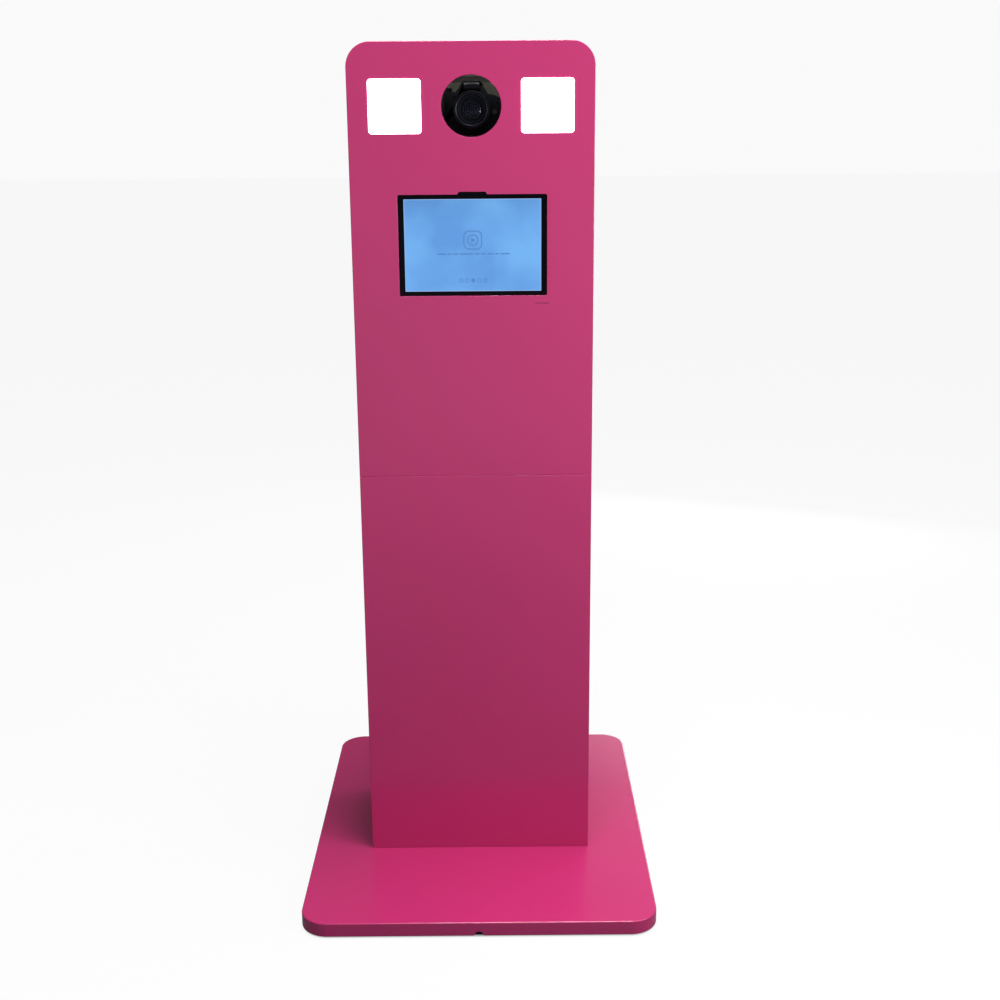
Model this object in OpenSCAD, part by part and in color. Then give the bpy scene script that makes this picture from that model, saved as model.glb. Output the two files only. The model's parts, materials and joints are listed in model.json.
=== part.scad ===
// Free-standing photo booth: a slim two-section tower of lacquered boards on a wide base plate,
// with a camera, two square lights and a touch tablet behind the front, and two rear doors.
// Millimetres. +Z is up, the front faces -Y, and the origin is on the floor under the middle of the base.

/* [Tower] */
// Width of the tower
tower_w = 460; // [400:5:560]
// Depth of the tower, front face to rear face
tower_d = 270; // [240:5:360]
// Height of each of the two sections
section_h = 820; // [680:5:990]
// Thickness of the boards
board_t = 15; // [12:1:18]
// Radius of the tower's top corners
top_r = 45; // [30:1:60]
// Height of the equipment shelf above the foot of the tower
shelf_up = 385; // [320:5:450]

/* [Base] */
// Width of the base plate
base_w = 700; // [580:10:860]
// Depth of the base plate
base_d = 850; // [700:10:1040]
// Thickness of the base plate
base_t = 29; // [24:1:36]
// Corner radius of the base plate
base_r = 55; // [30:1:80]
// Height of the rubber pads under the base
pad_h = 3; // [2:0.5:6]
// Radius of the rubber pads
pad_r = 20; // [12:1:30]
// Radius of the half-round cable groove under the base
groove_r = 8.5; // [5:0.5:11]

/* [Front openings] */
// Diameter of the round opening in front of the camera
lens_hole_d = 112; // [90:1:134]
// Height of the tower's top above the middle of the camera opening and of the lights
head_drop = 115; // [105:1:140]
// Visible side of each square light
light_s = 98; // [80:1:116]
// Corner radius of the light openings
light_r = 6; // [3:0.5:12]
// Distance of each light's middle from the tower's middle
light_x = 142; // [135:1:146]
// Width of the opening over the tablet
view_w = 282; // [264:1:286]
// Height of the opening over the tablet
view_h = 190; // [178:1:195]
// Height of the tower's top above the middle of the tablet
tablet_drop = 370; // [340:5:440]

/* [Tablet] */
// Width of the tablet
tablet_w = 292; // [288:1:320]
// Height of the tablet
tablet_h = 201; // [197:1:220]
// Thickness of the tablet, glass included
tablet_t = 9; // [7:0.5:10]
// Width of the lit display
display_w = 260; // [230:1:262]
// Height of the lit display
display_h = 173; // [150:1:176]

/* [Doors] */
// Height of the fixed rail under the lower door
rail_h = 110; // [80:5:160]
// Gap around each door
door_gap = 1.5; // [1:0.1:3]
// Number of hinges on each door
hinge_count = 3; // [2:1:4]
// Height of one hinge
hinge_h = 70; // [50:5:100]
// Number of air slots in each door
slot_count = 7; // [3:1:9]

/* [Camera] */
// Radius of the lens's widest ring
lens_r = 34.5; // [31:0.5:40]
// Length of the lens from its mount to its front rim
lens_len = 72; // [68:1:80]
// Drop of the lens's axis below the middle of the opening, at rest
axis_drop = 6; // [0:0.5:8]
// Tilt of the camera each way, in degrees
tilt_max = 10; // [4:1:12]
// Height adjustment of the camera each way
lift_max = 15; // [8:1:20]

/* [Power] */
// Length of the power supply
supply_l = 160; // [120:5:165]
// Width of the power supply
supply_w = 98; // [80:1:120]
// Height of the power supply
supply_h = 42; // [30:1:55]
// Radius of the low-voltage cables
lead_r = 2.5; // [1.5:0.1:3]
// Radius of the mains lead
mains_r = 3.5; // [2.5:0.1:4]

/* [Fits] */
// Gap between a part and the pocket or window that it sits in
fit = 0.5; // [0.2:0.1:1]
// Radial gap of a shaft in its bore
running = 0.1; // [0.05:0.01:0.1]

/* [Hidden] */
$fn = 48;
past = 1; // how far a cutting tool runs past the face it cuts

// Colours of the finishes
pink = [0.78, 0.22, 0.45];
grey_board = [0.55, 0.54, 0.5];
black_plastic = [0.05, 0.05, 0.06];
dark_rubber = [0.08, 0.08, 0.08];
steel = [0.72, 0.73, 0.75];
black_steel = [0.12, 0.12, 0.13];

// Levels and planes of the tower
floor_z = pad_h + base_t;              // underside of the tower
seam_z = floor_z + section_h;          // where the two sections meet
top_z = seam_z + section_h;            // top of the tower
half_w = tower_w / 2;
in_w = half_w - board_t;               // inner face of the side boards
front_y = -tower_d / 2;
rear_y = tower_d / 2;
in_front = front_y + board_t;          // inner face of the front boards
in_rear = rear_y - board_t;            // rear edge of the decks
corner_x = half_w - top_r;             // middle of the top corners' arcs
corner_z = top_z - top_r;
head_z = top_z - head_drop;            // middle of the camera opening and of the lights
tablet_z = top_z - tablet_drop;

// Bolts, cable ways and decks
bolt_r = 4;
bolt_bore = bolt_r + 0.2;
head_r = 10;
head_h = 6;
head_sunk = 1;                         // how far a base bolt's head stays above the base's underside
base_bolt_x = in_w - 65;
base_bolt_y = 80;
section_bolt_x = in_w - 30;
section_bolt_y = 60;
way_r = 25;                            // cable holes in the decks
base_way_y = -60;
riser_x = -(in_w - 7);                 // the leads climb along the left board
riser_y = [in_rear - 45, in_rear - 38, in_rear - 31];
deck_way = [-(in_w - 95), riser_y[1]];
grommet_flange = 4;
grommet_wall = 3;
grommet_t = 2;
shelf_z = floor_z + shelf_up;          // underside of the equipment shelf
shelf_rear = in_rear - 58;

// Doors, hinges and locks
door_t = board_t - 1;
door_in = rear_y - door_t;             // inner face of the doors
door_w2 = in_w - door_gap;             // half the doors' width
lower_door_z = [floor_z + rail_h + door_gap, seam_z - door_gap];
upper_door_z = [seam_z + door_gap, top_z - board_t - door_gap];
knuckle_r = 3.3;
pin_r = 1.5;
leaf_t = 1.5;
leaf_w = 22;
knuckles = 5;
knuckle_gap = 0.4;
hinge_x = -in_w + door_gap / 2;
hinge_y = rear_y + knuckle_r + 0.2;
hinge_inset = 70;                      // from a door's end to the nearest hinge's middle
lock_x = door_w2 - 18.5;
lock_r = 8;
plug_r = 6;
lock_end = door_in - 9;                // inner end of the lock's barrel
tongue_t = 3;
tongue_w = 12;
tongue_l = in_w - lock_x - 3.7;
strike_t = 3;
strike_gap = 0.8;
strike_reach = 10;
lower_lock_z = (lower_door_z[0] + lower_door_z[1]) / 2;
upper_lock_z = (upper_door_z[0] + upper_door_z[1]) / 2;
slot_w = 140;
slot_h = 6;
slot_pitch = 14;
slot_end = 60;                         // from a door's end to the nearest slot

// Inlet with its switch and fuse drawer, in the rear rail
inlet_x = 100;
inlet_z = floor_z + rail_h / 2;
inlet_body = [62, 35, 27];
inlet_flange = [72, 2.5, 32];
socket_c = 4;                          // middles of the three windows, from the inlet's middle
socket_s = [27, 17, 20];
pin_places = [[-7, 3], [0, -1], [7, 3]];
pin_s = [2, 18, 4];
pin_root = 4;                          // how deep a contact pin sits in the socket's floor
rocker_c = -21;
rocker_s = [13.4, 11, 21.2];
rocker_tip = 8;                        // degrees to each side of level
fuse_c = 25.5;
fuse_s = [8, 20, 21];
supply_x = -in_w + 15;                 // left end of the power supply
supply_y = -60;
supply_floor = 3;                      // thickness of the supply's case under its terminals
terminal_in = 4;                       // how far the terminals sit inside the supply's end

// Light units
flange_m = 9;                          // how far the diffuser's flange runs past the opening
light_flange = light_s + 2 * flange_m;
light_proud = 1;
flange_t = 2.5;
tray_d = 18;
tray_wall = 2;
fin_count = 7;
fin_d = 8;
chips = 4;

// Tablet
lip_t = board_t - tablet_t;            // what is left of the board in front of the tablet
glass_t = 1;
glass_y = front_y + lip_t;
tablet_r = 7;
sensor_w = [58, 50];                   // notch over the tablet's own sensors, at its foot and its top
sensor_h = 5;
button_proud = 0.6;
power_button = [94, 12];               // start and length along the top edge
volume_button = [60, 24];
button_w = 2.6;
button_deep = 2.4;
button_play = 0.2;
plug_l = 20;

// Camera and its mount
axis_z = head_z - axis_drop;
lens_front = in_front + 8;             // front rim of the lens
mount_y = lens_front + lens_len;       // where the lens meets the camera
body_d = 48;
camera_low = -46;                      // underside of the camera, from the lens's axis
cradle_t = 4;
tilt_y = mount_y + 20;
tilt_z = axis_z - 10;
ear_x = 82.5;                          // inner face of the cradle's ears
ear_t = 4;
arm_x = ear_x + ear_t + fit;           // inner face of the carriage's arms
post_x = arm_x + ear_t + fit;          // inner face of the posts
key_l = 6;
key_z = 7;
knob_r = 12;
knob_t = 16;
plate_d = 40;
tripod_r = 3;
tripod_head = [14, 8];
cradle_z = axis_z + camera_low - cradle_t;      // underside of the cradle
screw_drop = tilt_z - cradle_z + tripod_head[1]; // tilt axis to the foot of the tripod screw
tilt_gap = 6.3;                                 // least gap under the screw when it is tilted
carriage_z = tilt_z - screw_drop * cos(tilt_max) - tripod_head[0] * sin(tilt_max) - tilt_gap;
carriage_t = 3;
camera_shelf_z = carriage_z - carriage_t - lift_max - 2; // top of the camera's shelf
post_top = tilt_z + lift_max + key_z + key_l + 16;

// Lens profile, from the mount forwards
collar_l = 4;
zoom_from = 14;
zoom_to = lens_len - 29.5;
focus_from = lens_len - 16.5;
focus_to = lens_len - 5.5;
core_r = lens_r - 4.5;
tip_r = lens_r - 5.5;
shell_r = lens_r - 2;
focus_r = lens_r - 1.5;
glass_r = 21;
glass_seat = lens_len - 17;

// ---- helpers ----

// A block from its low corner to its high corner
module block(lo, hi) { translate(lo) cube(hi - lo); }

// A board standing across the tower: its outline in x and z, from y to y + t
module upright(y, t) { translate([0, y + t, 0]) rotate([90, 0, 0]) linear_extrude(t) children(); }

// A rectangle round its own middle with round corners
module soft_rect(size, r) {
    square([size[0] - 2 * r, size[1]], center = true);
    square([size[0], size[1] - 2 * r], center = true);
    for (x = [-1, 1], y = [-1, 1])
        translate([x * (size[0] / 2 - r), y * (size[1] / 2 - r)]) circle(r);
}

// A round bar along y, from y0 to y1
module bar_y(x, z, r, y0, y1) { translate([x, y1, z]) rotate([90, 0, 0]) cylinder(r = r, h = y1 - y0); }

// A round bar along x, from x0 to x1
module bar_x(y, z, r, x0, x1) { translate([x0, y, z]) rotate([0, 90, 0]) cylinder(r = r, h = x1 - x0); }

// An outline with two round top corners, from z0 up
module arched(w2, z0, z1, r) {
    translate([-w2, z0]) square([2 * w2, z1 - r - z0]);
    translate([-(w2 - r), z0]) square([2 * (w2 - r), z1 - z0]);
    for (s = [-1, 1]) translate([s * (w2 - r), z1 - r]) circle(r);
}

// The outline of a hand knob with six round lobes
module star(r) {
    circle(r);
    for (a = [0 : 60 : 300]) rotate(a) translate([r - 1, 0]) circle(4);
}

function unit(v) = v / norm(v);

// A cable of radius r through square corners, each turned with the bend radius b
module cable(p, r, b) {
    n = len(p) - 1;
    for (i = [0 : n - 1]) {
        d = unit(p[i + 1] - p[i]);
        from = p[i] + (i == 0 ? 0 : b) * d;
        to = p[i + 1] - (i == n - 1 ? 0 : b) * d;
        side = abs(d[2]) > 0.5 ? [1, 0, 0] : [0, 0, 1];
        over = cross(d, side);
        multmatrix([[side[0], over[0], d[0], from[0]],
                    [side[1], over[1], d[1], from[1]],
                    [side[2], over[2], d[2], from[2]]])
            cylinder(r = r, h = norm(to - from));
        if (i > 0) {
            a = unit(p[i] - p[i - 1]);
            middle = p[i] - b * a + b * d;
            up = cross(-d, a);
            multmatrix([[-d[0], a[0], up[0], middle[0]],
                        [-d[1], a[1], up[1], middle[1]],
                        [-d[2], a[2], up[2], middle[2]]])
                rotate_extrude(angle = 90) translate([b, 0]) circle(r);
        }
    }
}

// ---- base ----

module base_bolt_places() {
    for (x = [-1, 1], y = [-1, 1]) translate([x * base_bolt_x, y * base_bolt_y, 0]) children();
}

module base_plate() {
    color(pink) difference() {
        translate([0, 0, pad_h]) linear_extrude(base_t) soft_rect([base_w, base_d], base_r);
        bar_y(0, pad_h, groove_r, -base_d / 2 - past, base_d / 2 + past);
        translate([0, base_way_y, 0]) cylinder(r = way_r, h = floor_z + past);
        base_bolt_places() cylinder(r = bolt_bore, h = floor_z + past);
        base_bolt_places() cylinder(r = head_r + 1, h = pad_h + head_sunk + head_h);
    }
}

module base_feet() {
    color(dark_rubber)
        for (x = [-1, 1], y = [-1, 0, 1])
            translate([x * (base_w / 2 - 50), y * (base_d / 2 - 50), 0]) cylinder(r = pad_r, h = pad_h);
}

module base_bolts() {
    color(steel) base_bolt_places() {
        translate([0, 0, pad_h + head_sunk]) cylinder(r = head_r, h = head_h);
        translate([0, 0, pad_h + head_sunk]) cylinder(r = bolt_r, h = base_t + board_t + 8);
        translate([0, 0, floor_z + board_t]) cylinder(r = 7.5, h = 6.5, $fn = 6);
    }
}

// A rubber ring through boards from z0 to z1, with a flange on each free face
module grommet(x, y, z0, z1, low_flange) {
    translate([x, y, 0]) difference() {
        union() {
            translate([0, 0, z0]) cylinder(r = way_r, h = z1 - z0 + grommet_t);
            translate([0, 0, z1]) cylinder(r = way_r + grommet_flange, h = grommet_t);
            if (low_flange)
                translate([0, 0, z0 - grommet_t]) cylinder(r = way_r + grommet_flange, h = grommet_t);
        }
        translate([0, 0, z0 - grommet_t - past])
            cylinder(r = way_r - grommet_wall, h = z1 - z0 + 2 * (grommet_t + past));
    }
}

module cable_grommets() {
    color(dark_rubber) {
        grommet(0, base_way_y, floor_z, floor_z + board_t, false);
        grommet(deck_way[0], deck_way[1], seam_z - board_t, seam_z + board_t, true);
    }
}

// ---- lower section ----

module side_board(s, z0, z1) {
    color(pink) block([s > 0 ? in_w : -half_w, in_front, z0], [s > 0 ? half_w : -in_w, rear_y, z1]);
}

module deck(z0) { block([-in_w, in_front, z0], [in_w, in_rear, z0 + board_t]); }

module section_bolt_places() {
    for (x = [-1, 1], y = [-1, 1]) translate([x * section_bolt_x, y * section_bolt_y, 0]) children();
}

module lower_front_panel() {
    color(pink) block([-half_w, front_y, floor_z], [half_w, in_front, seam_z]);
}

module lower_bottom_deck() {
    color(grey_board) difference() {
        deck(floor_z);
        translate([0, base_way_y, floor_z - past]) cylinder(r = way_r, h = board_t + 2 * past);
        base_bolt_places() translate([0, 0, floor_z - past]) cylinder(r = bolt_bore, h = board_t + 2 * past);
    }
}

module joined_deck(z0) {
    color(grey_board) difference() {
        deck(z0);
        translate([deck_way[0], deck_way[1], z0 - past]) cylinder(r = way_r, h = board_t + 2 * past);
        section_bolt_places() translate([0, 0, z0 - past]) cylinder(r = bolt_bore, h = board_t + 2 * past);
    }
}

module rear_rail() {
    color(pink) difference() {
        block([-in_w, in_rear, floor_z], [in_w, rear_y, floor_z + rail_h]);
        translate([inlet_x, rear_y - board_t / 2, inlet_z])
            cube([inlet_body[0] + fit, board_t + 2 * past, inlet_body[2] + fit], center = true);
    }
}

module equipment_shelf() {
    color(grey_board) block([-in_w, in_front, shelf_z], [in_w, shelf_rear, shelf_z + board_t]);
}

// ---- upper section ----

module light_places() {
    for (s = [-1, 1]) translate([s * light_x, 0, head_z]) children();
}

module upper_front_panel() {
    plug_z = 9;
    color(pink) difference() {
        upright(front_y, board_t) difference() {
            arched(half_w, seam_z, top_z, top_r);
            translate([0, head_z]) circle(lens_hole_d / 2);
            for (s = [-1, 1]) translate([s * light_x, head_z]) soft_rect([light_s, light_s], light_r);
            translate([0, tablet_z]) soft_rect([view_w, view_h], 3);
            translate([0, tablet_z + view_h / 2 - past])
                polygon([[-sensor_w[0] / 2, 0], [sensor_w[0] / 2, 0],
                         [sensor_w[1] / 2, sensor_h + past], [-sensor_w[1] / 2, sensor_h + past]]);
        }
        // pocket for the tablet, cut from behind, with room for its buttons and its plug
        translate([0, glass_y, tablet_z])
            block([-tablet_w / 2 - fit, 0, -tablet_h / 2 - fit],
                  [tablet_w / 2 + fit, board_t, tablet_h / 2 + fit]);
        block([volume_button[0] - 6, glass_y + 1.5, tablet_z + tablet_h / 2],
              [power_button[0] + power_button[1] + 6, in_front + past, tablet_z + tablet_h / 2 + 12]);
        block([-tablet_w / 2 - plug_l - 26, glass_y + 1.5, tablet_z - plug_z],
              [-tablet_w / 2, in_front + past, tablet_z + plug_z]);
    }
}

module top_corners() {
    color(pink) for (s = [-1, 1])
        upright(in_front, rear_y - in_front) translate([s * corner_x, corner_z]) intersection() {
            difference() {
                circle(top_r);
                circle(top_r - board_t);
            }
            translate([s > 0 ? 0 : -top_r, 0]) square(top_r);
        }
}

module top_panel() {
    color(pink) block([-corner_x, in_front, top_z - board_t], [corner_x, rear_y, top_z]);
}

module section_bolts() {
    color(steel) section_bolt_places() {
        translate([0, 0, seam_z - board_t - head_h]) cylinder(r = head_r, h = head_h);
        translate([0, 0, seam_z - board_t - head_h]) cylinder(r = bolt_r, h = 2 * board_t + head_h + 20);
        translate([0, 0, seam_z + board_t]) cylinder(r = 8, h = 5);
        translate([0, 0, seam_z + board_t + 4]) linear_extrude(10) star(11);
    }
}

// ---- rear doors ----

module air_slots(z0) {
    for (i = [0 : slot_count - 1])
        translate([0, z0 + i * slot_pitch]) soft_rect([slot_w, slot_h], slot_h / 2 - 0.5);
}

module lower_door() {
    color(pink) upright(door_in, door_t) difference() {
        translate([-door_w2, lower_door_z[0]]) square([2 * door_w2, lower_door_z[1] - lower_door_z[0]]);
        air_slots(lower_door_z[0] + slot_end);
        translate([lock_x, lower_lock_z]) circle(lock_r + running);
    }
}

module upper_door() {
    color(pink) upright(door_in, door_t) difference() {
        arched(door_w2, upper_door_z[0], upper_door_z[1], top_r - board_t - door_gap);
        air_slots(upper_door_z[1] - slot_end - (slot_count - 1) * slot_pitch);
        translate([lock_x, upper_lock_z]) circle(lock_r + running);
    }
}

// Middles of a door's hinges, along z
function hinge_places(door_z) = [for (i = [0 : hinge_count - 1])
    door_z[0] + hinge_inset + i * (door_z[1] - door_z[0] - 2 * hinge_inset) / (hinge_count - 1)];

// One leaf with its share of the knuckles: own = 0 is the frame's leaf, and 1 the door's
module hinge_leaf(z, own) {
    s = own == 0 ? -1 : 1;
    step = hinge_h / knuckles;
    reach = own == 0 ? board_t - 2 : leaf_w;
    difference() {
        union() {
            block([s > 0 ? hinge_x + 4 : hinge_x - reach, rear_y, z - hinge_h / 2],
                  [s > 0 ? hinge_x + reach : hinge_x - 4, rear_y + leaf_t, z + hinge_h / 2]);
            for (i = [own : 2 : knuckles - 1]) {
                low = z - hinge_h / 2 + i * step + knuckle_gap / 2;
                translate([hinge_x, hinge_y, low]) cylinder(r = knuckle_r, h = step - knuckle_gap);
                block([s > 0 ? hinge_x : hinge_x - 5, rear_y + 0.2, low],
                      [s > 0 ? hinge_x + 5 : hinge_x, rear_y + leaf_t, low + step - knuckle_gap]);
            }
        }
        translate([hinge_x, hinge_y, z - hinge_h / 2 - past])
            cylinder(r = pin_r + running, h = hinge_h + 2 * past);
    }
}

module hinge_frame_leaves() {
    color(steel) for (door = [lower_door_z, upper_door_z], z = hinge_places(door)) hinge_leaf(z, 0);
}

module door_leaves(door_z) {
    color(steel) for (z = hinge_places(door_z)) hinge_leaf(z, 1);
}

module hinge_pins() {
    color(steel) for (door = [lower_door_z, upper_door_z], z = hinge_places(door))
        translate([hinge_x, hinge_y, z - hinge_h / 2 - 1]) {
            cylinder(r = pin_r, h = hinge_h + 2);
            cylinder(r = pin_r + 0.8, h = 1);
            translate([0, 0, hinge_h + 1]) cylinder(r = pin_r + 0.8, h = 1);
        }
}

module lock_barrel(z) {
    color(steel) difference() {
        union() {
            bar_y(lock_x, z, lock_r, lock_end, rear_y + 2);
            bar_y(lock_x, z, lock_r + 2.5, rear_y, rear_y + 2);
            bar_y(lock_x, z, lock_r + 3, door_in - 4, door_in);
        }
        bar_y(lock_x, z, plug_r + running, lock_end - past, rear_y + 2 + past);
    }
}

module lock_cam(z) {
    color(steel) difference() {
        union() {
            bar_y(lock_x, z, plug_r, lock_end - 0.5 - tongue_t, rear_y + 1.6);
            bar_y(lock_x, z, tongue_w / 2 + 1, lock_end - 0.5 - tongue_t, lock_end - 0.5);
            block([lock_x - tongue_w / 2, lock_end - 0.5 - tongue_t, z - tongue_l],
                  [lock_x + tongue_w / 2, lock_end - 0.5, z]);
        }
        block([lock_x - 0.7, rear_y - 4, z - 3.5], [lock_x + 0.7, rear_y + 1.6 + past, z + 3.5]);
    }
}

module lock_strikes() {
    y0 = lock_end - 0.5 + strike_gap;
    color(steel) for (z = [lower_lock_z, upper_lock_z]) {
        block([in_w - strike_reach, y0, z - 20], [in_w, y0 + strike_t, z + 20]);
        block([in_w - 2, y0 - 24, z - 20], [in_w, y0 + strike_t, z + 20]);
    }
}

// ---- inlet and power supply ----

module inlet_socket() {
    color(black_plastic) translate([inlet_x, rear_y, inlet_z]) difference() {
        union() {
            upright(0, inlet_flange[1]) soft_rect([inlet_flange[0], inlet_flange[2]], 3);
            block([-inlet_body[0] / 2, -inlet_body[1], -inlet_body[2] / 2],
                  [inlet_body[0] / 2, 1, inlet_body[2] / 2]);
        }
        block([socket_c - socket_s[0] / 2, inlet_flange[1] - socket_s[1], -socket_s[2] / 2],
              [socket_c + socket_s[0] / 2, inlet_flange[1] + past, socket_s[2] / 2]);
        translate([socket_c, inlet_flange[1] - socket_s[1], 0]) contact_pins();
        block([rocker_c - rocker_s[0] / 2 - button_play, -rocker_s[1] - 1, -rocker_s[2] / 2 - 0.4],
              [rocker_c + rocker_s[0] / 2 + button_play, inlet_flange[1] + past, rocker_s[2] / 2 + 0.4]);
        block([fuse_c - fuse_s[0] / 2 - button_play, inlet_flange[1] - fuse_s[1] - 1, -fuse_s[2] / 2 - 0.2],
              [fuse_c + fuse_s[0] / 2 + button_play, inlet_flange[1] + past, fuse_s[2] / 2 + 0.2]);
    }
}

// The three contact pins, from the middle of the socket's floor
module contact_pins() {
    for (p = pin_places)
        block([p[0] - pin_s[0] / 2, -pin_root, p[1] - pin_s[2] / 2],
              [p[0] + pin_s[0] / 2, pin_s[1] - pin_root, p[1] + pin_s[2] / 2]);
}

module inlet_pins() {
    color(steel)
        translate([inlet_x + socket_c, rear_y + inlet_flange[1] - socket_s[1], inlet_z]) contact_pins();
}

rocker_y = rear_y - 2.5;               // pivot of the rocker

module inlet_rocker() {
    face = 3;
    rise = rocker_s[2] / 2 * tan(rocker_tip);
    h2 = rocker_s[2] / 2;
    color([0.75, 0.06, 0.05]) translate([inlet_x + rocker_c, rocker_y, inlet_z]) rotate([-rocker_tip, 0, 0])
        intersection() {
            bar_x(0, 0, h2, -rocker_s[0] / 2, rocker_s[0] / 2);
            translate([-rocker_s[0] / 2, 0, 0]) rotate([90, 0, 90]) linear_extrude(rocker_s[0])
                polygon([[-6, -h2], [face + rise, -h2], [face, 0], [face + rise, h2], [-6, h2]]);
        }
}

module fuse_drawer() {
    color(black_plastic) translate([inlet_x + fuse_c, rear_y + inlet_flange[1], inlet_z]) {
        block([-fuse_s[0] / 2, -fuse_s[1], -fuse_s[2] / 2], [fuse_s[0] / 2, 0.4, fuse_s[2] / 2]);
        block([-fuse_s[0] / 2, 0, fuse_s[2] / 2 - 4], [fuse_s[0] / 2, 1.8, fuse_s[2] / 2 - 2]);
    }
}

module power_supply() {
    deep = 14;
    color(steel) translate([supply_x, supply_y, floor_z + board_t]) {
        difference() {
            cube([supply_l, supply_w, supply_h]);
            block([supply_l - deep, 6, supply_floor], [supply_l + past, supply_w - 6, 24]);
        }
        block([supply_l - deep, 10, supply_floor], [supply_l - terminal_in, supply_w - 10, 18]);
    }
}

// ---- lights ----

module light_diffusers() {
    color("white") light_places() {
        upright(front_y - light_proud, board_t + light_proud)
            soft_rect([light_s - fit, light_s - fit], light_r - fit / 2);
        upright(in_front, flange_t) square(light_flange, center = true);
    }
}

module light_housings() {
    y0 = in_front + flange_t;
    y1 = y0 + tray_d;
    w = light_flange / 2;
    ear = [20, 14];
    fin_t = 2;
    color([0.6, 0.61, 0.62]) light_places() {
        difference() {
            block([-w, y0, -w], [w, y1, w]);
            block([tray_wall - w, y0 - past, tray_wall - w], [w - tray_wall, y1 - tray_wall, w - tray_wall]);
        }
        for (i = [0 : fin_count - 1]) {
            x = -w + 8 + i * (2 * w - 16 - fin_t) / (fin_count - 1);
            block([x, y1, -w + 6], [x + fin_t, y1 + fin_d, w - 6]);
        }
        for (s = [-1, 1])
            mirror([0, 0, s > 0 ? 0 : 1])
                block([-ear[0] / 2, in_front, w], [ear[0] / 2, y0 + 2, w + ear[1]]);
    }
}

module light_boards() {
    y1 = in_front + flange_t + tray_d - tray_wall;
    w = light_flange / 2 - tray_wall - fit;
    chip = 2.8;
    color([0.9, 0.9, 0.86]) light_places() {
        block([-w, y1 - 1.6, -w], [w, y1, w]);
        for (i = [0 : chips - 1], k = [0 : chips - 1]) {
            x = (i - (chips - 1) / 2) * 2 * w / chips;
            z = (k - (chips - 1) / 2) * 2 * w / chips;
            block([x - chip / 2, y1 - 2.4, z - chip / 2], [x + chip / 2, y1 - 1.6, z + chip / 2]);
        }
    }
}

// ---- tablet ----

module tablet_glass() {
    color("black") translate([0, 0, tablet_z]) upright(glass_y, glass_t) difference() {
        soft_rect([tablet_w, tablet_h], tablet_r);
        square([display_w, display_h], center = true);
    }
}

module tablet_display() {
    color([0.4, 0.66, 0.9]) translate([0, 0, tablet_z])
        upright(glass_y, glass_t) square([display_w, display_h], center = true);
}

module button_window(b) {
    block([b[0], glass_y + tablet_t / 2 - button_w / 2 - button_play, tablet_h / 2 - button_deep],
          [b[0] + b[1], glass_y + tablet_t / 2 + button_w / 2 + button_play, tablet_h / 2 + past]);
}

module tablet_body() {
    color([0.2, 0.2, 0.21]) translate([0, 0, tablet_z]) difference() {
        upright(glass_y + glass_t, tablet_t - glass_t) soft_rect([tablet_w, tablet_h], tablet_r);
        button_window(power_button);
        button_window(volume_button);
    }
}

module tablet_button(b) {
    press = 0.7;                       // free depth under the button
    color(steel) translate([0, glass_y + tablet_t / 2, tablet_z + tablet_h / 2])
        block([b[0] + button_play, -button_w / 2, press - button_deep],
              [b[0] + b[1] - button_play, button_w / 2, button_proud]);
}

module tablet_clamps() {
    clamp = [30, 2, 27];
    over = 15;                         // how far a clamp reaches over the tablet's back
    color(black_steel) for (sx = [-1, 1], sz = [-1, 1])
        translate([sx * (tablet_w / 2 - 22), in_front, tablet_z + sz * (tablet_h / 2 - over)])
            mirror([0, 0, sz > 0 ? 0 : 1]) {
                block([-clamp[0] / 2, 0, 0], [clamp[0] / 2, clamp[1], clamp[2]]);
                for (x = [-8, 8]) bar_y(x, clamp[2] - 6, 3.5, clamp[1], clamp[1] + 2);
            }
}

// ---- camera mount ----

module camera_shelf() {
    color(grey_board)
        block([-in_w, mount_y - 35, camera_shelf_z - board_t], [in_w, mount_y + 100, camera_shelf_z]);
}

module camera_posts() {
    post_t = 4;
    slot_z = lift_max + key_z + key_l + 0.5;
    slot_w2 = bolt_r + 0.3;
    color(black_steel) for (s = [-1, 1]) mirror([s > 0 ? 0 : 1, 0, 0]) difference() {
        union() {
            block([post_x, tilt_y - 25, camera_shelf_z], [post_x + post_t, tilt_y + 25, post_top]);
            block([post_x, tilt_y - 25, camera_shelf_z],
                  [post_x + 30, tilt_y + 25, camera_shelf_z + post_t]);
        }
        block([post_x - past, tilt_y - slot_w2, tilt_z - slot_z],
              [post_x + post_t + past, tilt_y + slot_w2, tilt_z + slot_z]);
    }
}

module camera_carriage() {
    arm_t = ear_t;
    y0 = tilt_y - plate_d / 2;
    y1 = tilt_y + plate_d / 2;
    color(black_steel) difference() {
        union() {
            block([-arm_x - arm_t, y0, carriage_z - carriage_t], [arm_x + arm_t, y1, carriage_z]);
            for (s = [-1, 1]) mirror([s > 0 ? 0 : 1, 0, 0]) {
                block([arm_x, y0, carriage_z - carriage_t], [arm_x + arm_t, y1, tilt_z + 14]);
                for (k = [-1, 1])
                    block([arm_x + arm_t - past, tilt_y - bolt_r, tilt_z + (k > 0 ? key_z : -key_z - key_l)],
                          [arm_x + arm_t + 4, tilt_y + bolt_r, tilt_z + (k > 0 ? key_z + key_l : -key_z)]);
            }
        }
        bar_x(tilt_y, tilt_z, bolt_r + running, -arm_x - arm_t - past, arm_x + arm_t + past);
        translate([0, tilt_y, carriage_z - carriage_t - past])
            cylinder(r = tripod_head[0] + 4, h = carriage_t + 2 * past);
    }
}

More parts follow.
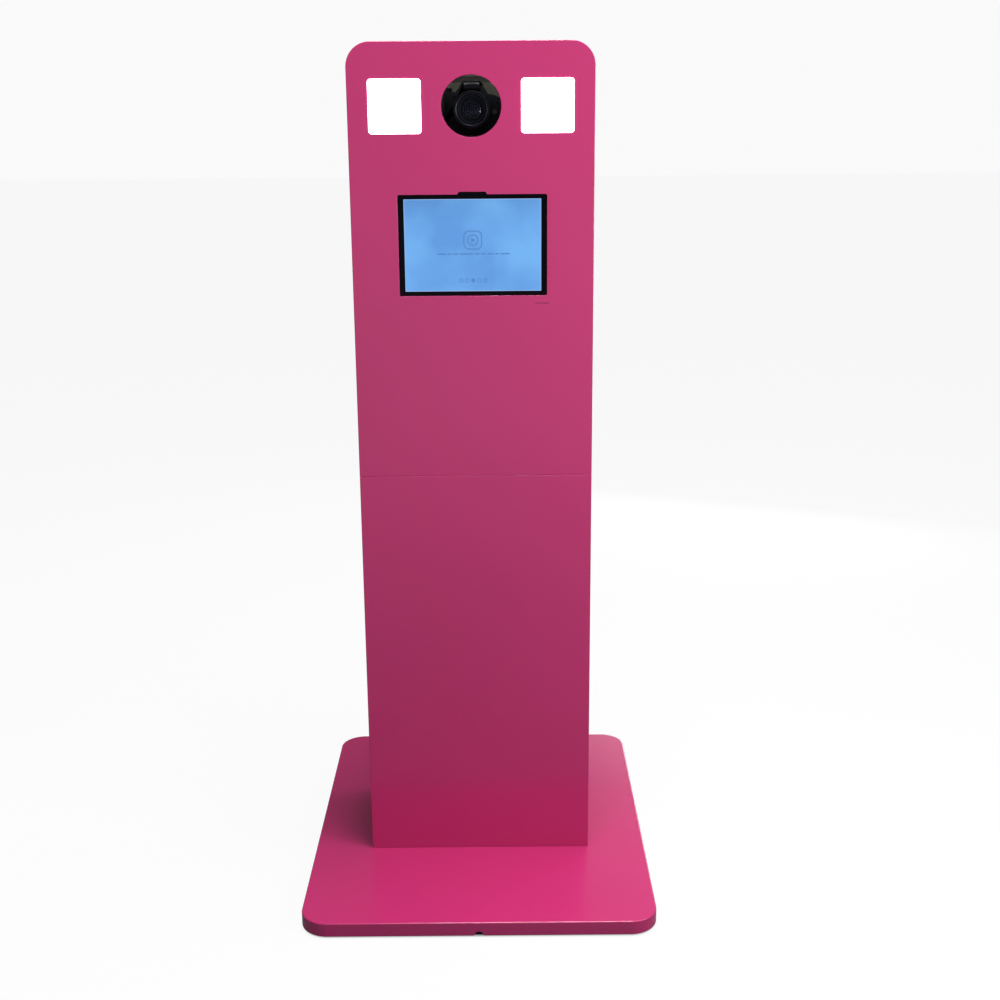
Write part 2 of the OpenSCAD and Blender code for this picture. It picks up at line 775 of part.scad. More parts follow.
module clamp_knob(s) {
    knob_x = post_x + 4 + fit;
    color(black_plastic) mirror([s > 0 ? 0 : 1, 0, 0]) {
        bar_x(tilt_y, tilt_z, bolt_r + 2.5, ear_x - 3, ear_x - 0.3);
        bar_x(tilt_y, tilt_z, bolt_r, ear_x - 3, knob_x + knob_t);
        bar_x(tilt_y, tilt_z, 9, knob_x, knob_x + 5);
        translate([knob_x + 4, tilt_y, tilt_z]) rotate([0, 90, 0]) linear_extrude(knob_t - 4) star(knob_r);
    }
}

module camera_cradle() {
    z0 = cradle_z;
    y0 = tilt_y - plate_d / 2 + 2;
    y1 = tilt_y + plate_d / 2 - 2;
    color(black_steel) difference() {
        union() {
            block([-ear_x - ear_t, y0, z0], [ear_x + ear_t, y1, z0 + cradle_t]);
            for (s = [-1, 1]) mirror([s > 0 ? 0 : 1, 0, 0])
                block([ear_x, y0 + 4, z0], [ear_x + ear_t, y1 - 4, tilt_z + 12]);
        }
        bar_x(tilt_y, tilt_z, bolt_r + running, -ear_x - ear_t - past, ear_x + ear_t + past);
        translate([0, tilt_y, z0 - past]) cylinder(r = tripod_r + 0.3, h = cradle_t + 2 * past);
    }
}

module tripod_screw() {
    z0 = cradle_z;
    color(steel) translate([0, tilt_y, 0]) {
        translate([0, 0, z0 - tripod_head[1]]) cylinder(r = tripod_head[0], h = tripod_head[1]);
        translate([0, 0, z0 - tripod_head[1]]) cylinder(r = tripod_r, h = tripod_head[1] + cradle_t + 5);
    }
}

// ---- camera, drawn round the middle of its lens mount ----

module at_mount() { translate([0, mount_y, axis_z]) children(); }

module camera_body() {
    color(black_plastic) at_mount() difference() {
        union() {
            upright(0, body_d)
                polygon([[-72, camera_low], [57, camera_low], [57, 20], [44, 27], [31, 30], [24, 40],
                         [21.5, 47], [16, 53], [-16, 53], [-21.5, 47], [-24, 40], [-31, 33], [-72, 33]]);
            // flash housing over the lens
            translate([-16, 0, 0]) rotate([90, 0, 90]) linear_extrude(32)
                polygon([[1, 33], [-5, 36], [-12, 38], [-14, 47], [-8, 52], [1, 53]]);
            bar_y(0, 0, lens_r + 0.5, -collar_l, 1);
            // screen and eyecup at the back
            block([-46, body_d - 1, -38], [32, body_d + 2.5, 18]);
            difference() {
                block([-20, body_d - 1, 24], [20, body_d + 12, 50]);
                block([-15, body_d + 2, 28], [15, body_d + 13, 46]);
            }
        }
        translate([0, tilt_y - mount_y, camera_low - past]) cylinder(r = tripod_r + running, h = 6 + past);
    }
}

grip = [-61, -11, 11];                 // the grip's middle, and its radius
grip_z = [-42, 24];

module camera_grip() {
    color(dark_rubber) at_mount() difference() {
        union() {
            translate([grip[0], grip[1], grip_z[0]]) cylinder(r = grip[2], h = grip_z[1] - grip_z[0]);
            block([grip[0] - grip[2], grip[1], grip_z[0]], [grip[0] + grip[2], 0, grip_z[1]]);
        }
        translate([grip[0], grip[1], grip_z[1] - 3]) cylinder(r = 6, h = 3 + past);
    }
}

module shutter_button() {
    color(steel) at_mount() translate([grip[0], grip[1], grip_z[1] - 1.2]) cylinder(r = 5.6, h = 3);
}

dial = [-48, 24, 9];                   // the mode dial's middle, and its radius

module mode_dial() {
    color(black_plastic) at_mount() translate([dial[0], dial[1], 33.2]) {
        cylinder(r = dial[2], h = 6.5);
        cylinder(r = dial[2] - 1, h = 7.5);
    }
}

// A turned part round the lens's axis, from its outline of radius and distance in front of the mount
module turned(outline) { rotate([90, 0, 0]) rotate_extrude() polygon(outline); }

module lens_barrel() {
    color(black_plastic) at_mount()
        turned([[0, collar_l], [shell_r, collar_l], [shell_r, zoom_from], [core_r, zoom_from],
                [core_r, zoom_to], [shell_r, zoom_to], [shell_r, focus_from], [tip_r, focus_from],
                [tip_r, focus_to], [shell_r, focus_to], [shell_r, lens_len], [tip_r, lens_len],
                [tip_r, lens_len - 8], [glass_r, lens_len - 12], [glass_r, glass_seat], [0, glass_seat]]);
}

// A ring that turns on the barrel between two shoulders
module lens_ring(r_in, r_out, from, to) {
    color(dark_rubber) at_mount()
        turned([[r_in + running, from + fit / 2], [r_out, from + fit / 2], [r_out, to - fit / 2],
                [r_in + running, to - fit / 2]]);
}

module lens_glass() {
    crown = 60;                        // radius of the glass's front
    edge = 2;
    steps = 8;
    r = glass_r - running;
    function rise(x) = sqrt(crown * crown - x * x) - sqrt(crown * crown - r * r);
    color([0.1, 0.12, 0.2]) at_mount()
        turned(concat([[0, glass_seat], [r, glass_seat]],
                      [for (i = [steps : -1 : 0])
                          [r * i / steps, glass_seat + edge + rise(r * i / steps)]]));
}

// ---- cables ----

bend = 12;
lead_x = supply_x + supply_l - terminal_in; // where the leads leave the supply's terminals
lead_z = floor_z + board_t + 15;
over_supply = floor_z + board_t + supply_h + 20;
deck_below = seam_z - 62;
deck_above = seam_z + 58;
light_in_y = in_front + 16;
light_low = head_z - light_flange / 2;
cross_z = corner_z - 2;

// From the supply up the left board, through the decks and on to a height
function riser(y, start_y, out_x, top) = [
    [lead_x, start_y, lead_z], [out_x, start_y, lead_z], [out_x, y, lead_z], [out_x, y, over_supply],
    [riser_x, y, over_supply], [riser_x, y, deck_below], [deck_way[0], y, deck_below],
    [deck_way[0], y, deck_above], [riser_x, y, deck_above], [riser_x, y, top]];

// Across a side board to a light's underside
function to_light(s, x) = [
    [x, light_in_y, light_low - 14], [s * light_x, light_in_y, light_low - 14],
    [s * light_x, light_in_y, light_low]];

module power_cables() {
    left = concat(riser(riser_y[1], supply_y + 30, lead_x + 26, light_low - 14), to_light(-1, riser_x));
    right = concat(riser(riser_y[2], supply_y + 45, lead_x + 18, cross_z),
                   [[-riser_x - 2, riser_y[2], cross_z], [-riser_x - 2, riser_y[2], light_low - 14]],
                   to_light(1, -riser_x - 2));
    tablet = concat(riser(riser_y[0], supply_y + 15, lead_x + 34, tablet_z),
                    [[riser_x, in_front + 22, tablet_z],
                     [-tablet_w / 2 - plug_l - 18, in_front + 22, tablet_z],
                     [-tablet_w / 2 - plug_l - 18, glass_y + 5, tablet_z],
                     [-tablet_w / 2 - plug_l, glass_y + 5, tablet_z]]);
    mains_z = floor_z + board_t + supply_floor + mains_r + 0.3;
    mains_y = supply_y + 80;
    inlet_back = rear_y - inlet_body[1];
    color(black_plastic) {
        cable(left, lead_r, bend);
        cable(right, lead_r, bend);
        cable(tablet, lead_r - 0.5, 7);
        translate([-tablet_w / 2 - plug_l, glass_y + 5, tablet_z]) block([0, -3, -6], [plug_l - 0.2, 3, 6]);
        cable([[inlet_x, inlet_back, inlet_z], [inlet_x, inlet_back - 40, inlet_z],
               [inlet_x, inlet_back - 40, mains_z], [lead_x + 18, inlet_back - 40, mains_z],
               [lead_x + 18, mains_y, mains_z], [lead_x, mains_y, mains_z]], mains_r, 15);
    }
}

// A clip on the left board that holds the leads at these depths
module riser_clip(z, ys) {
    difference() {
        block([-in_w, ys[0] - 6, z - 5], [riser_x + lead_r + 2, ys[len(ys) - 1] + 6, z + 5]);
        for (y = ys) translate([riser_x, y, z - 5 - past]) cylinder(r = lead_r + running, h = 10 + 2 * past);
    }
}

module cable_clips() {
    color("white") {
        for (z = [over_supply + 60, (over_supply + deck_below) / 2, deck_below - 40,
                  deck_above + 40, (deck_above + tablet_z) / 2, tablet_z - 60]) riser_clip(z, riser_y);
        riser_clip((tablet_z + light_low) / 2, [riser_y[1], riser_y[2]]);
        riser_clip(head_z + 20, [riser_y[2]]);
    }
}

base_plate();
base_feet();
base_bolts();
cable_grommets();
lower_front_panel();
side_board(-1, floor_z, seam_z);  // lower_side_left
side_board(1, floor_z, seam_z);  // lower_side_right
lower_bottom_deck();
joined_deck(seam_z - board_t);  // lower_top_deck
rear_rail();
equipment_shelf();
upper_front_panel();
side_board(-1, seam_z, corner_z);  // upper_side_left
side_board(1, seam_z, corner_z);  // upper_side_right
top_corners();
top_panel();
joined_deck(seam_z);  // upper_deck
section_bolts();
lower_door();
upper_door();
hinge_frame_leaves();
door_leaves(lower_door_z);  // lower_door_leaves
door_leaves(upper_door_z);  // upper_door_leaves
hinge_pins();
lock_barrel(lower_lock_z);  // lower_lock_barrel
lock_barrel(upper_lock_z);  // upper_lock_barrel
lock_cam(lower_lock_z);  // lower_lock_cam
lock_cam(upper_lock_z);  // upper_lock_cam
lock_strikes();
inlet_socket();
inlet_pins();
inlet_rocker();
fuse_drawer();
power_supply();
light_diffusers();
light_boards();
light_housings();
tablet_body();
tablet_glass();
tablet_display();
tablet_clamps();
tablet_button(power_button);  // tablet_power_button
tablet_button(volume_button);  // tablet_volume_button
camera_shelf();
camera_posts();
camera_carriage();
clamp_knob(-1);  // clamp_knob_left
clamp_knob(1);  // clamp_knob_right
camera_cradle();
tripod_screw();
camera_body();
camera_grip();
lens_barrel();
lens_ring(core_r, lens_r, zoom_from, zoom_to);  // zoom_ring
lens_ring(tip_r, focus_r, focus_from, focus_to);  // focus_ring
lens_glass();
shutter_button();
mode_dial();
power_cables();
cable_clips();
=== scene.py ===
"""The looks of a free-standing photo booth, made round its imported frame. Sizes are in metres."""
import json
import math

import bmesh
import bpy
from mathutils import Matrix, Vector
from mathutils.bvhtree import BVHTree

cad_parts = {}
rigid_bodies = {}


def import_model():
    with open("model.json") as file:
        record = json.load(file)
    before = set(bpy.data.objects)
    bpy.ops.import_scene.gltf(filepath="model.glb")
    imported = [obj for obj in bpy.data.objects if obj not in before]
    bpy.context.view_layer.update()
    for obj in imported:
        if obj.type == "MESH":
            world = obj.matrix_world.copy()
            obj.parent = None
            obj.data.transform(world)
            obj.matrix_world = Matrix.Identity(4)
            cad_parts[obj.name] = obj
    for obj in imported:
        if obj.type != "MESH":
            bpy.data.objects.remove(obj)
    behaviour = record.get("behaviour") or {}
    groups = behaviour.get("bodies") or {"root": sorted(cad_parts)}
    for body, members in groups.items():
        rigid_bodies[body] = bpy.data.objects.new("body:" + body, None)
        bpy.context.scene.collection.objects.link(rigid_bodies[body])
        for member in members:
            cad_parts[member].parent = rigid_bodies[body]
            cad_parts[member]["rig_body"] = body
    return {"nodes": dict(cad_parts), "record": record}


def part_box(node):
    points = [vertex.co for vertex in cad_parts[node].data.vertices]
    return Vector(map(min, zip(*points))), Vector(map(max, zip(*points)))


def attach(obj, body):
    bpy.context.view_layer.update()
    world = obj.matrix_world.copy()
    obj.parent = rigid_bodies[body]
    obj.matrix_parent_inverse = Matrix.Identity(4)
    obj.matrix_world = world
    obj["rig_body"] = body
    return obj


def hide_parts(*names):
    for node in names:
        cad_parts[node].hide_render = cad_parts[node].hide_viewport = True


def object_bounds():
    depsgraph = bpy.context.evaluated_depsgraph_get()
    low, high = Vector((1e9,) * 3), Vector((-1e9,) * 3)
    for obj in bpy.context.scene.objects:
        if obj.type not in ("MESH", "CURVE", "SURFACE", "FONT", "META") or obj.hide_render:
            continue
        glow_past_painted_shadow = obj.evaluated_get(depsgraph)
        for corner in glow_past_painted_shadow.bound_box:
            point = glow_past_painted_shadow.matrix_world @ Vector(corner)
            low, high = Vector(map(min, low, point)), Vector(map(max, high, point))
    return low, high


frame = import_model()
cad_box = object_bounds()

MM = 0.001
SHARP = math.radians(38)                # an edge that turns by more than this is a sharp one
MERGED = 2e-6                           # corners closer than this are one
SLOT_OF = {part["node"]: part["material_slot"] for part in frame["record"]["subparts"]}


def add_node(tree, kind, inputs, **options):
    """One node of a node tree. An input is a value or another node's output."""
    node = tree.nodes.new(kind)
    for key, value in options.items():
        setattr(node, key, value)
    for key, value in inputs.items():
        if isinstance(value, bpy.types.NodeSocket):
            tree.links.new(value, node.inputs[key])
        else:
            node.inputs[key].default_value = value
    return node


def link(thing):
    """Put an object in the scene."""
    bpy.context.scene.collection.objects.link(thing)


# ---- camera, floor and lights ----

def place_camera():
    """The camera stands just right of the middle at eye height, and looks down at the booth."""
    yaw, pitch, roll = 0.00103, 0.26644, -0.00787
    right = Vector((math.cos(yaw), -math.sin(yaw), 0))
    up = Vector((math.sin(yaw) * math.sin(pitch), math.cos(yaw) * math.sin(pitch), math.cos(pitch)))
    right, up = (right * math.cos(roll) + up * math.sin(roll), up * math.cos(roll) - right * math.sin(roll))
    data = bpy.data.cameras.new("camera")
    data.sensor_width = 36
    data.lens = 49.53
    camera = bpy.data.objects.new("camera", data)
    camera.location = (0.0451, -2.7805, 1.5235)
    camera.rotation_euler = Matrix((right, up, right.cross(up))).transposed().to_euler()
    link(camera)
    bpy.context.scene.camera = camera


def soft_light(name, place, target, size, watts, colour=(1, 1, 1)):
    """A square soft light that faces its target."""
    data = bpy.data.lights.new(name, "AREA")
    data.shape = "RECTANGLE"
    data.size, data.size_y = size
    data.energy = watts
    data.color = colour
    light = bpy.data.objects.new(name, data)
    light.location = place
    light.rotation_euler = (Vector(target) - Vector(place)).to_track_quat("-Z", "Y").to_euler()
    light.visible_camera = False
    link(light)


def light_studio():
    """A soft key on the right, a wide light overhead, one behind, and a room that is bright in front."""
    soft_light("key", (1.8, -1.1, 1.5), (0, 0, 0.85), (0.8, 0.8), 25)
    soft_light("strip", (1.2, -2.0, 1.4), (0, 0, 1.5), (0.2, 0.6), 4)
    soft_light("overhead", (0.25, -0.32, 3.6), (0.1, -0.3, 0), (1.8, 1.1), 126)
    soft_light("rear", (1.1, 2.8, 0.6), (0, 0.1, 0.95), (1.6, 0.5), 24)
    soft_light("camera_compartment", (0, -0.112, 1.622), (0, 0.12, 1.61), (0.3, 0.026), 0.13, (1, 0.97, 0.88))
    world = bpy.data.worlds.new("surroundings")
    bpy.context.scene.world = world
    world.use_nodes = True
    tree = world.node_tree
    way = add_node(tree, "ShaderNodeTexCoord", {}).outputs["Generated"]
    slope = (-0.25, 0.5, 0.35)
    rise = add_node(tree, "ShaderNodeVectorMath", {0: way, 1: slope}, operation="DOT_PRODUCT")
    place = add_node(tree, "ShaderNodeMath", {0: rise.outputs["Value"], 1: 0.5}, operation="ADD")
    shade = add_node(tree, "ShaderNodeValToRGB", {"Fac": place.outputs[0]})
    before, behind = shade.color_ramp.elements
    before.color = (0.36, 0.38, 0.41, 1)
    behind.color = (0.11, 0.115, 0.125, 1)
    behind.position = 0.72
    room = add_node(tree, "ShaderNodeBackground", {"Color": shade.outputs[0], "Strength": 1})
    seen = add_node(tree, "ShaderNodeBackground", {"Color": (0.95, 0.95, 0.95, 1), "Strength": 1})
    to_camera = add_node(tree, "ShaderNodeLightPath", {}).outputs["Is Camera Ray"]
    mix = add_node(tree, "ShaderNodeMixShader", {0: to_camera, 1: room.outputs[0], 2: seen.outputs[0]})
    tree.links.new(mix.outputs[0], tree.nodes["World Output"].inputs[0])
    view = bpy.context.scene.view_settings
    view.view_transform = "Standard"
    view.look = "None"


# ---- finishes ----

class Finish:
    """A procedural finish: one shader, and patterns on the piece's Object coordinates."""

    def __init__(self, name, colour, roughness, **settings):
        self.name = name
        self.material = bpy.data.materials.new(name)
        self.material.use_nodes = True
        self.tree = self.material.node_tree
        self.shader = self.tree.nodes["Principled BSDF"]
        self.colour = colour
        for label, value in {"Base_Color": (*colour, 1), "Roughness": roughness, **settings}.items():
            self.shader.inputs[label.replace("_", " ")].default_value = value
        self.point = self.add("ShaderNodeTexCoord", {}).outputs["Object"]

    def add(self, kind, inputs, **options):
        return add_node(self.tree, kind, inputs, **options)

    def drive(self, label, output):
        """One of the shader's inputs follows a node's output."""
        self.tree.links.new(output, self.shader.inputs[label])

    def noise(self, scale, detail=2.0, stretch=(1, 1, 1)):
        """A noise from 0 to 1, with its features about 1 / scale metres apart."""
        point = self.add("ShaderNodeMapping", {"Vector": self.point, "Scale": stretch}).outputs[0]
        return self.add("ShaderNodeTexNoise", {"Vector": point, "Scale": scale, "Detail": detail}).outputs[0]

    def between(self, value, low, high, start=0.2, end=0.8):
        """The value carried from the range start to end over to the range low to high."""
        ranges = {"Value": value, "From Min": start, "From Max": end, "To Min": low, "To Max": high}
        return self.add("ShaderNodeMapRange", ranges).outputs[0]

    def shades(self, label, value, colours, start, end):
        """A colour of the shader goes from one to the other as the value goes from start to end."""
        ramp = self.add("ShaderNodeValToRGB", {"Fac": value})
        for stop, place, colour in zip(ramp.color_ramp.elements, (start, end), colours):
            stop.position = place
            stop.color = (*colour, 1)
        self.drive(label, ramp.outputs[0])
        return ramp.outputs[0]

    def mottle(self, value, darker, lighter):
        """The colour varies between two shades of itself, or between two given colours."""
        pair = [s if isinstance(s, tuple) else tuple(c * s for c in self.colour) for s in (darker, lighter)]
        return self.shades("Base Color", value, pair, 0.2, 0.8)

    def vary_gloss(self, value, low, high):
        self.drive("Roughness", self.between(value, low, high))

    def relief(self, value, depth, strength=1.0):
        """Bumps of that depth, in metres."""
        bump = self.add("ShaderNodeBump", {"Height": value, "Distance": depth, "Strength": strength})
        self.drive("Normal", bump.outputs[0])


def surface(name, colour, roughness, mottle=None, gloss=None, relief=None, **settings):
    """A name and its material, with up to three patterns: each is a noise's sizes, then how far it varies."""
    f = Finish(name, colour, roughness, **settings)
    for use, pattern in ((f.mottle, mottle), (f.vary_gloss, gloss), (f.relief, relief)):
        if pattern:
            use(f.noise(*pattern[0]), *pattern[1:])
    return f.name, f.material


def moulded_plastic(name, colour, roughness=0.48, grain=0.00012, shine=0.5):
    gloss = ((70, 4), roughness - 0.06, roughness + 0.06)
    return surface(name, colour, roughness, ((26, 4), 0.85, 1.15), gloss, ((2200, 2), grain, 0.6),
                   Specular_IOR_Level=shine)


def cast_alloy(name, colour, roughness):
    gloss = ((50, 5), roughness - 0.08, roughness + 0.1)
    return surface(name, colour, roughness, ((130, 5), 0.85, 1.1), gloss, ((1400, 3), 0.00012, 0.6),
                   Metallic=1.0)


def glowing(name, colour, roughness, strength, noise, dim, bright):
    """A surface that gives off light, in a colour that drifts between two."""
    f = Finish(name, colour, roughness, Emission_Strength=strength)
    f.shades("Emission Color", f.noise(*noise), (dim, bright), 0, 1)
    return f.name, f.material


def lit_display():
    """A display that shows an uneven pale blue, darker towards its top, under its glass."""
    f = Finish("lit_display", (0.02, 0.03, 0.04), 0.12, Emission_Strength=1.0)
    blue = f.shades("Emission Color", f.noise(9, 3), ((0.098, 0.31, 0.73), (0.152, 0.43, 0.88)), 0.33, 0.68)
    height = f.add("ShaderNodeSeparateXYZ", {0: f.point}).outputs["Z"]
    shade = f.between(height, 0.97, 0.73, 1.34, 1.45)
    dimmed = f.add("ShaderNodeVectorMath", {0: blue, "Scale": shade}, operation="SCALE")
    f.drive("Emission Color", dimmed.outputs[0])
    f.vary_gloss(f.noise(14, 6), 0.08, 0.2)
    return f.name, f.material


def rubber_skin():
    """The pebbled rubber that a camera is gripped by."""
    f = Finish("camera_rubber", (0.010, 0.010, 0.013), 0.62, Specular_IOR_Level=0.25)
    f.mottle(f.noise(50, 4), 0.8, 1.3)
    cells = f.add("ShaderNodeTexVoronoi", {"Vector": f.point, "Scale": 900})
    f.relief(cells.outputs["Distance"], 0.00018, 0.8)
    return f.name, f.material


def coated_glass(name, colour, clear):
    """Lens glass under a faintly violet coating, either clear or dark."""
    return surface(name, colour, 0.02, None, ((40, 2), 0.02, 0.04), Coat_Weight=0.02, Coat_Roughness=0.01,
                   Transmission_Weight=clear, IOR=1.22, Specular_IOR_Level=0.1,
                   Specular_Tint=(0.75, 0.72, 1.0, 1))


BRUSHED = (60, 4, (22, 22, 0.6))        # a noise drawn out into upright streaks

FINISH = dict((
    # lacquer over board, with an even satin gloss and a slight orange peel
    surface("pink_lacquer", (0.535, 0.028, 0.152), 0.26, ((2.4, 2), 0.96, 1.04), ((6, 2), 0.24, 0.27),
            ((150, 1), 0.00002), Coat_Weight=0.4, Coat_Roughness=0.12),
    # primer inside the boards, brushed on over fibreboard
    surface("grey_board", (0.30, 0.30, 0.26), 0.75, ((38, 6, (1, 1, 0.25)), 0.82, 1.12), None,
            ((900, 4, (1, 1, 0.3)), 0.0003, 0.6)),
    surface("rubber_pad", (0.028, 0.028, 0.029), 0.8, ((60, 5), 0.7, 1.6), None, ((1600, 3), 0.0002, 0.5)),
    surface("zinc_steel", (0.60, 0.60, 0.57), 0.35, ((90, 5), (0.50, 0.50, 0.46), (0.68, 0.67, 0.62)),
            ((240, 4), 0.26, 0.48), ((1500, 2), 0.00008, 0.5), Metallic=1.0),
    surface("satin_steel", (0.62, 0.63, 0.64), 0.3, (BRUSHED, 0.85, 1.1), (BRUSHED, 0.22, 0.42),
            (BRUSHED, 0.00004, 0.5), Metallic=1.0),
    surface("lock_chrome", (0.74, 0.75, 0.76), 0.1, ((30, 3), 0.92, 1.04), ((120, 6), 0.06, 0.18),
            Metallic=1.0),
    surface("black_steel", (0.035, 0.035, 0.038), 0.5, ((300, 4), 0.75, 1.3), None, ((1100, 2), 0.0002, 0.7)),
    surface("brass_pins", (0.70, 0.55, 0.30), 0.25, ((200, 4), 0.85, 1.08), Metallic=1.0),
    surface("led_board", (0.80, 0.81, 0.77), 0.35, ((320, 2, (1, 1, 0.1)), 0.86, 1.05), None,
            ((700, 1), 0.0001, 0.5)),
    surface("tablet_case", (0.15, 0.155, 0.165), 0.4, ((40, 3), 0.92, 1.08), None, ((3000, 2), 0.00004, 0.6),
            Metallic=0.9),
    surface("black_glass", (0.002, 0.002, 0.004), 0.06, None, ((16, 6), 0.04, 0.16), Specular_IOR_Level=0.07),
    moulded_plastic("black_plastic", (0.022, 0.022, 0.024)),
    moulded_plastic("red_plastic", (0.50, 0.012, 0.010), 0.25, 0.00002),
    moulded_plastic("camera_shell", (0.004, 0.005, 0.009), 0.45, 0.00006, 0.1),
    moulded_plastic("cable_jacket", (0.018, 0.018, 0.019), 0.55, 0.00005),
    moulded_plastic("clip_plastic", (0.80, 0.80, 0.76), 0.5, 0.00005),
    moulded_plastic("filter_foam", (0.26, 0.26, 0.22), 0.95, 0.0006),
    # a pale finish for the strip on the flash housing's brow: a painted highlight where its bevel catches
    # light
    moulded_plastic("painted_highlight_trim", (0.15, 0.155, 0.155), 0.3, 0.00002),
    moulded_plastic("label_print", (0.30, 0.018, 0.085), 0.4, 0.00001),
    moulded_plastic("white_print", (0.75, 0.75, 0.74), 0.5, 0.00001),
    cast_alloy("supply_case", (0.62, 0.63, 0.64), 0.34),
    cast_alloy("cast_alloy", (0.50, 0.51, 0.52), 0.42),
    cast_alloy("camera_metal", (0.055, 0.056, 0.065), 0.35),
    cast_alloy("rim_metal", (0.034, 0.037, 0.052), 0.34),
    # the opal sheet over the lamps, and what the display draws in dark and pale blue
    glowing("lit_diffuser", (0.95, 0.95, 0.95), 0.4, 7.0, (26, 1), (0.93, 0.96, 1), (1, 1, 1)),
    glowing("display_ink", (0.01, 0.02, 0.05), 0.12, 1.0, (60, 2), (0.06, 0.19, 0.47), (0.085, 0.25, 0.56)),
    glowing("display_glow", (0.02, 0.03, 0.04), 0.12, 1.0, (30, 2), (0.20, 0.38, 0.78), (0.36, 0.55, 0.90)),
    lit_display(),
    rubber_skin(),
    coated_glass("coated_glass", (0.9, 0.92, 0.95), 1.0),
    coated_glass("inner_glass", (0.002, 0.003, 0.008), 0.0),
))


# ---- pieces ----

def hand_over(piece, body, stands_for=()):
    """Let a finished piece move with its body, and hide the CAD nodes that it stands for."""
    link(piece)
    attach(piece, body)
    if stands_for:
        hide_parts(*stands_for)
    return piece


def body_of(node):
    return frame["nodes"][node]["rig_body"]


def ease_edges(piece, width, steps=3, by_weight=False):
    """Round a piece's edges over, as a cutter or a mould leaves them."""
    bevel = piece.modifiers.new("eased_edges", "BEVEL")
    bevel.width = width
    bevel.segments = steps
    bevel.limit_method = "WEIGHT" if by_weight else "ANGLE"
    bevel.angle_limit = SHARP
    bevel.use_clamp_overlap = not by_weight
    bevel.loop_slide = False
    flats = piece.modifiers.new("flat_faces", "WEIGHTED_NORMAL")
    flats.mode = "FACE_AREA"
    flats.weight = 90
    flats.keep_sharp = True


def merged_copy(node):
    """A CAD node's mesh, merged, with its flat faces in as few pieces as may be."""
    bm = bmesh.new()
    bm.from_mesh(frame["nodes"][node].data)
    bmesh.ops.remove_doubles(bm, verts=bm.verts, dist=MERGED)
    bmesh.ops.dissolve_limit(bm, angle_limit=math.radians(0.3), verts=bm.verts, edges=bm.edges)
    return bm


def is_joint(edge, joints):
    """Whether an edge lies in a plane where two boards are glued flush."""
    return any(all(abs(v.co[axis] - place) < 2e-4 for v in edge.verts) for axis, place in joints)


def dress(node, ease=0.4 * MM, steps=2, joints=(), lining=None, crisp=None):
    """Carry a CAD node over: its outer edges eased, less if crisp(edge), and lined where lining(face)."""
    bm = merged_copy(node)
    weight = bm.edges.layers.float.new("bevel_weight_edge")
    for edge in bm.edges:
        sharp = edge.is_manifold and edge.is_convex and edge.calc_face_angle(0) > SHARP
        eased = 0.35 if crisp and crisp(edge) else 1.0
        edge[weight] = eased if sharp and not is_joint(edge, joints) else 0.0
    for face in bm.faces:
        face.smooth = True
        face.material_index = 1 if lining and lining(face) else 0
    mesh = bpy.data.meshes.new(node + "_finished")
    bm.to_mesh(mesh)
    bm.free()
    mesh.set_sharp_from_angle(angle=SHARP)
    slot = SLOT_OF[node]
    mesh.materials.append(FINISH[slot])
    if lining:
        mesh.materials.append(FINISH["grey_board"])
    piece = bpy.data.objects.new(node + "_finished", mesh)
    if ease:
        ease_edges(piece, ease, steps, by_weight=True)
    return hand_over(piece, body_of(node), [node])


def solids(node):
    """The lowest and highest corners of each separate solid in a CAD node."""
    bm = bmesh.new()
    bm.from_mesh(frame["nodes"][node].data)
    bmesh.ops.remove_doubles(bm, verts=bm.verts, dist=MERGED)
    left, boxes = set(bm.verts), []
    while left:
        todo, reached = [left.pop()], []
        while todo:
            vert = todo.pop()
            reached.append(vert.co.copy())
            for edge in vert.link_edges:
                other = edge.other_vert(vert)
                if other in left:
                    left.remove(other)
                    todo.append(other)
        boxes.append(tuple(Vector(pick(co[i] for co in reached) for i in range(3)) for pick in (min, max)))
    bm.free()
    return sorted(boxes, key=lambda box: tuple(round(c, 4) for c in box[0]))


def mesh_piece(name, verts, faces, finish):
    """A new piece from its corners and faces."""
    mesh = bpy.data.meshes.new(name)
    mesh.from_pydata([tuple(v) for v in verts], [], faces)
    bm = bmesh.new()
    bm.from_mesh(mesh)
    bmesh.ops.remove_doubles(bm, verts=bm.verts, dist=1e-7)
    bmesh.ops.recalc_face_normals(bm, faces=bm.faces)
    for face in bm.faces:
        face.smooth = True
    bm.to_mesh(mesh)
    bm.free()
    mesh.set_sharp_from_angle(angle=SHARP)
    mesh.materials.append(FINISH[finish])
    return bpy.data.objects.new(name, mesh)


def rounded(points, radius, steps=6):
    """An outline with its corners turned into arcs."""
    outline = []
    count = len(points)
    for i, corner in enumerate(points):
        p = Vector(corner)
        a, b = (Vector(points[i - 1]) - p).normalized(), (Vector(points[(i + 1) % count]) - p).normalized()
        half = a.angle(b) / 2
        reach = radius / math.tan(half)
        middle = p + (a + b).normalized() * radius / math.sin(half)
        start, end = p + a * reach - middle, p + b * reach - middle
        turn = start.angle_signed(end)
        for k in range(steps + 1):
            outline.append(middle + Matrix.Rotation(-turn * k / steps, 2) @ start)
    return outline


def oblong(width, height, radius, middle=(0, 0), steps=6):
    """A rectangle with round corners, its sizes in millimetres and its middle in metres."""
    x, y = width * MM / 2, height * MM / 2
    corners = [(middle[0] + a * x, middle[1] + b * y) for a, b in ((-1, -1), (1, -1), (1, 1), (-1, 1))]
    return rounded(corners, radius * MM, steps)


def ring_line(radius, middle=(0, 0), steps=48):
    return [Vector((middle[0] + radius * math.cos(math.tau * i / steps),
                    middle[1] + radius * math.sin(math.tau * i / steps))) for i in range(steps)]


ACROSS = {"x": (1, 2, 0), "y": (0, 2, 1), "z": (0, 1, 2)}


def set_in(axis, point, depth):
    """The place of an outline's point, in the plane across an axis, at a depth along that axis."""
    place = [0, 0, 0]
    place[ACROSS[axis][0]], place[ACROSS[axis][1]], place[ACROSS[axis][2]] = point[0], point[1], depth
    return place


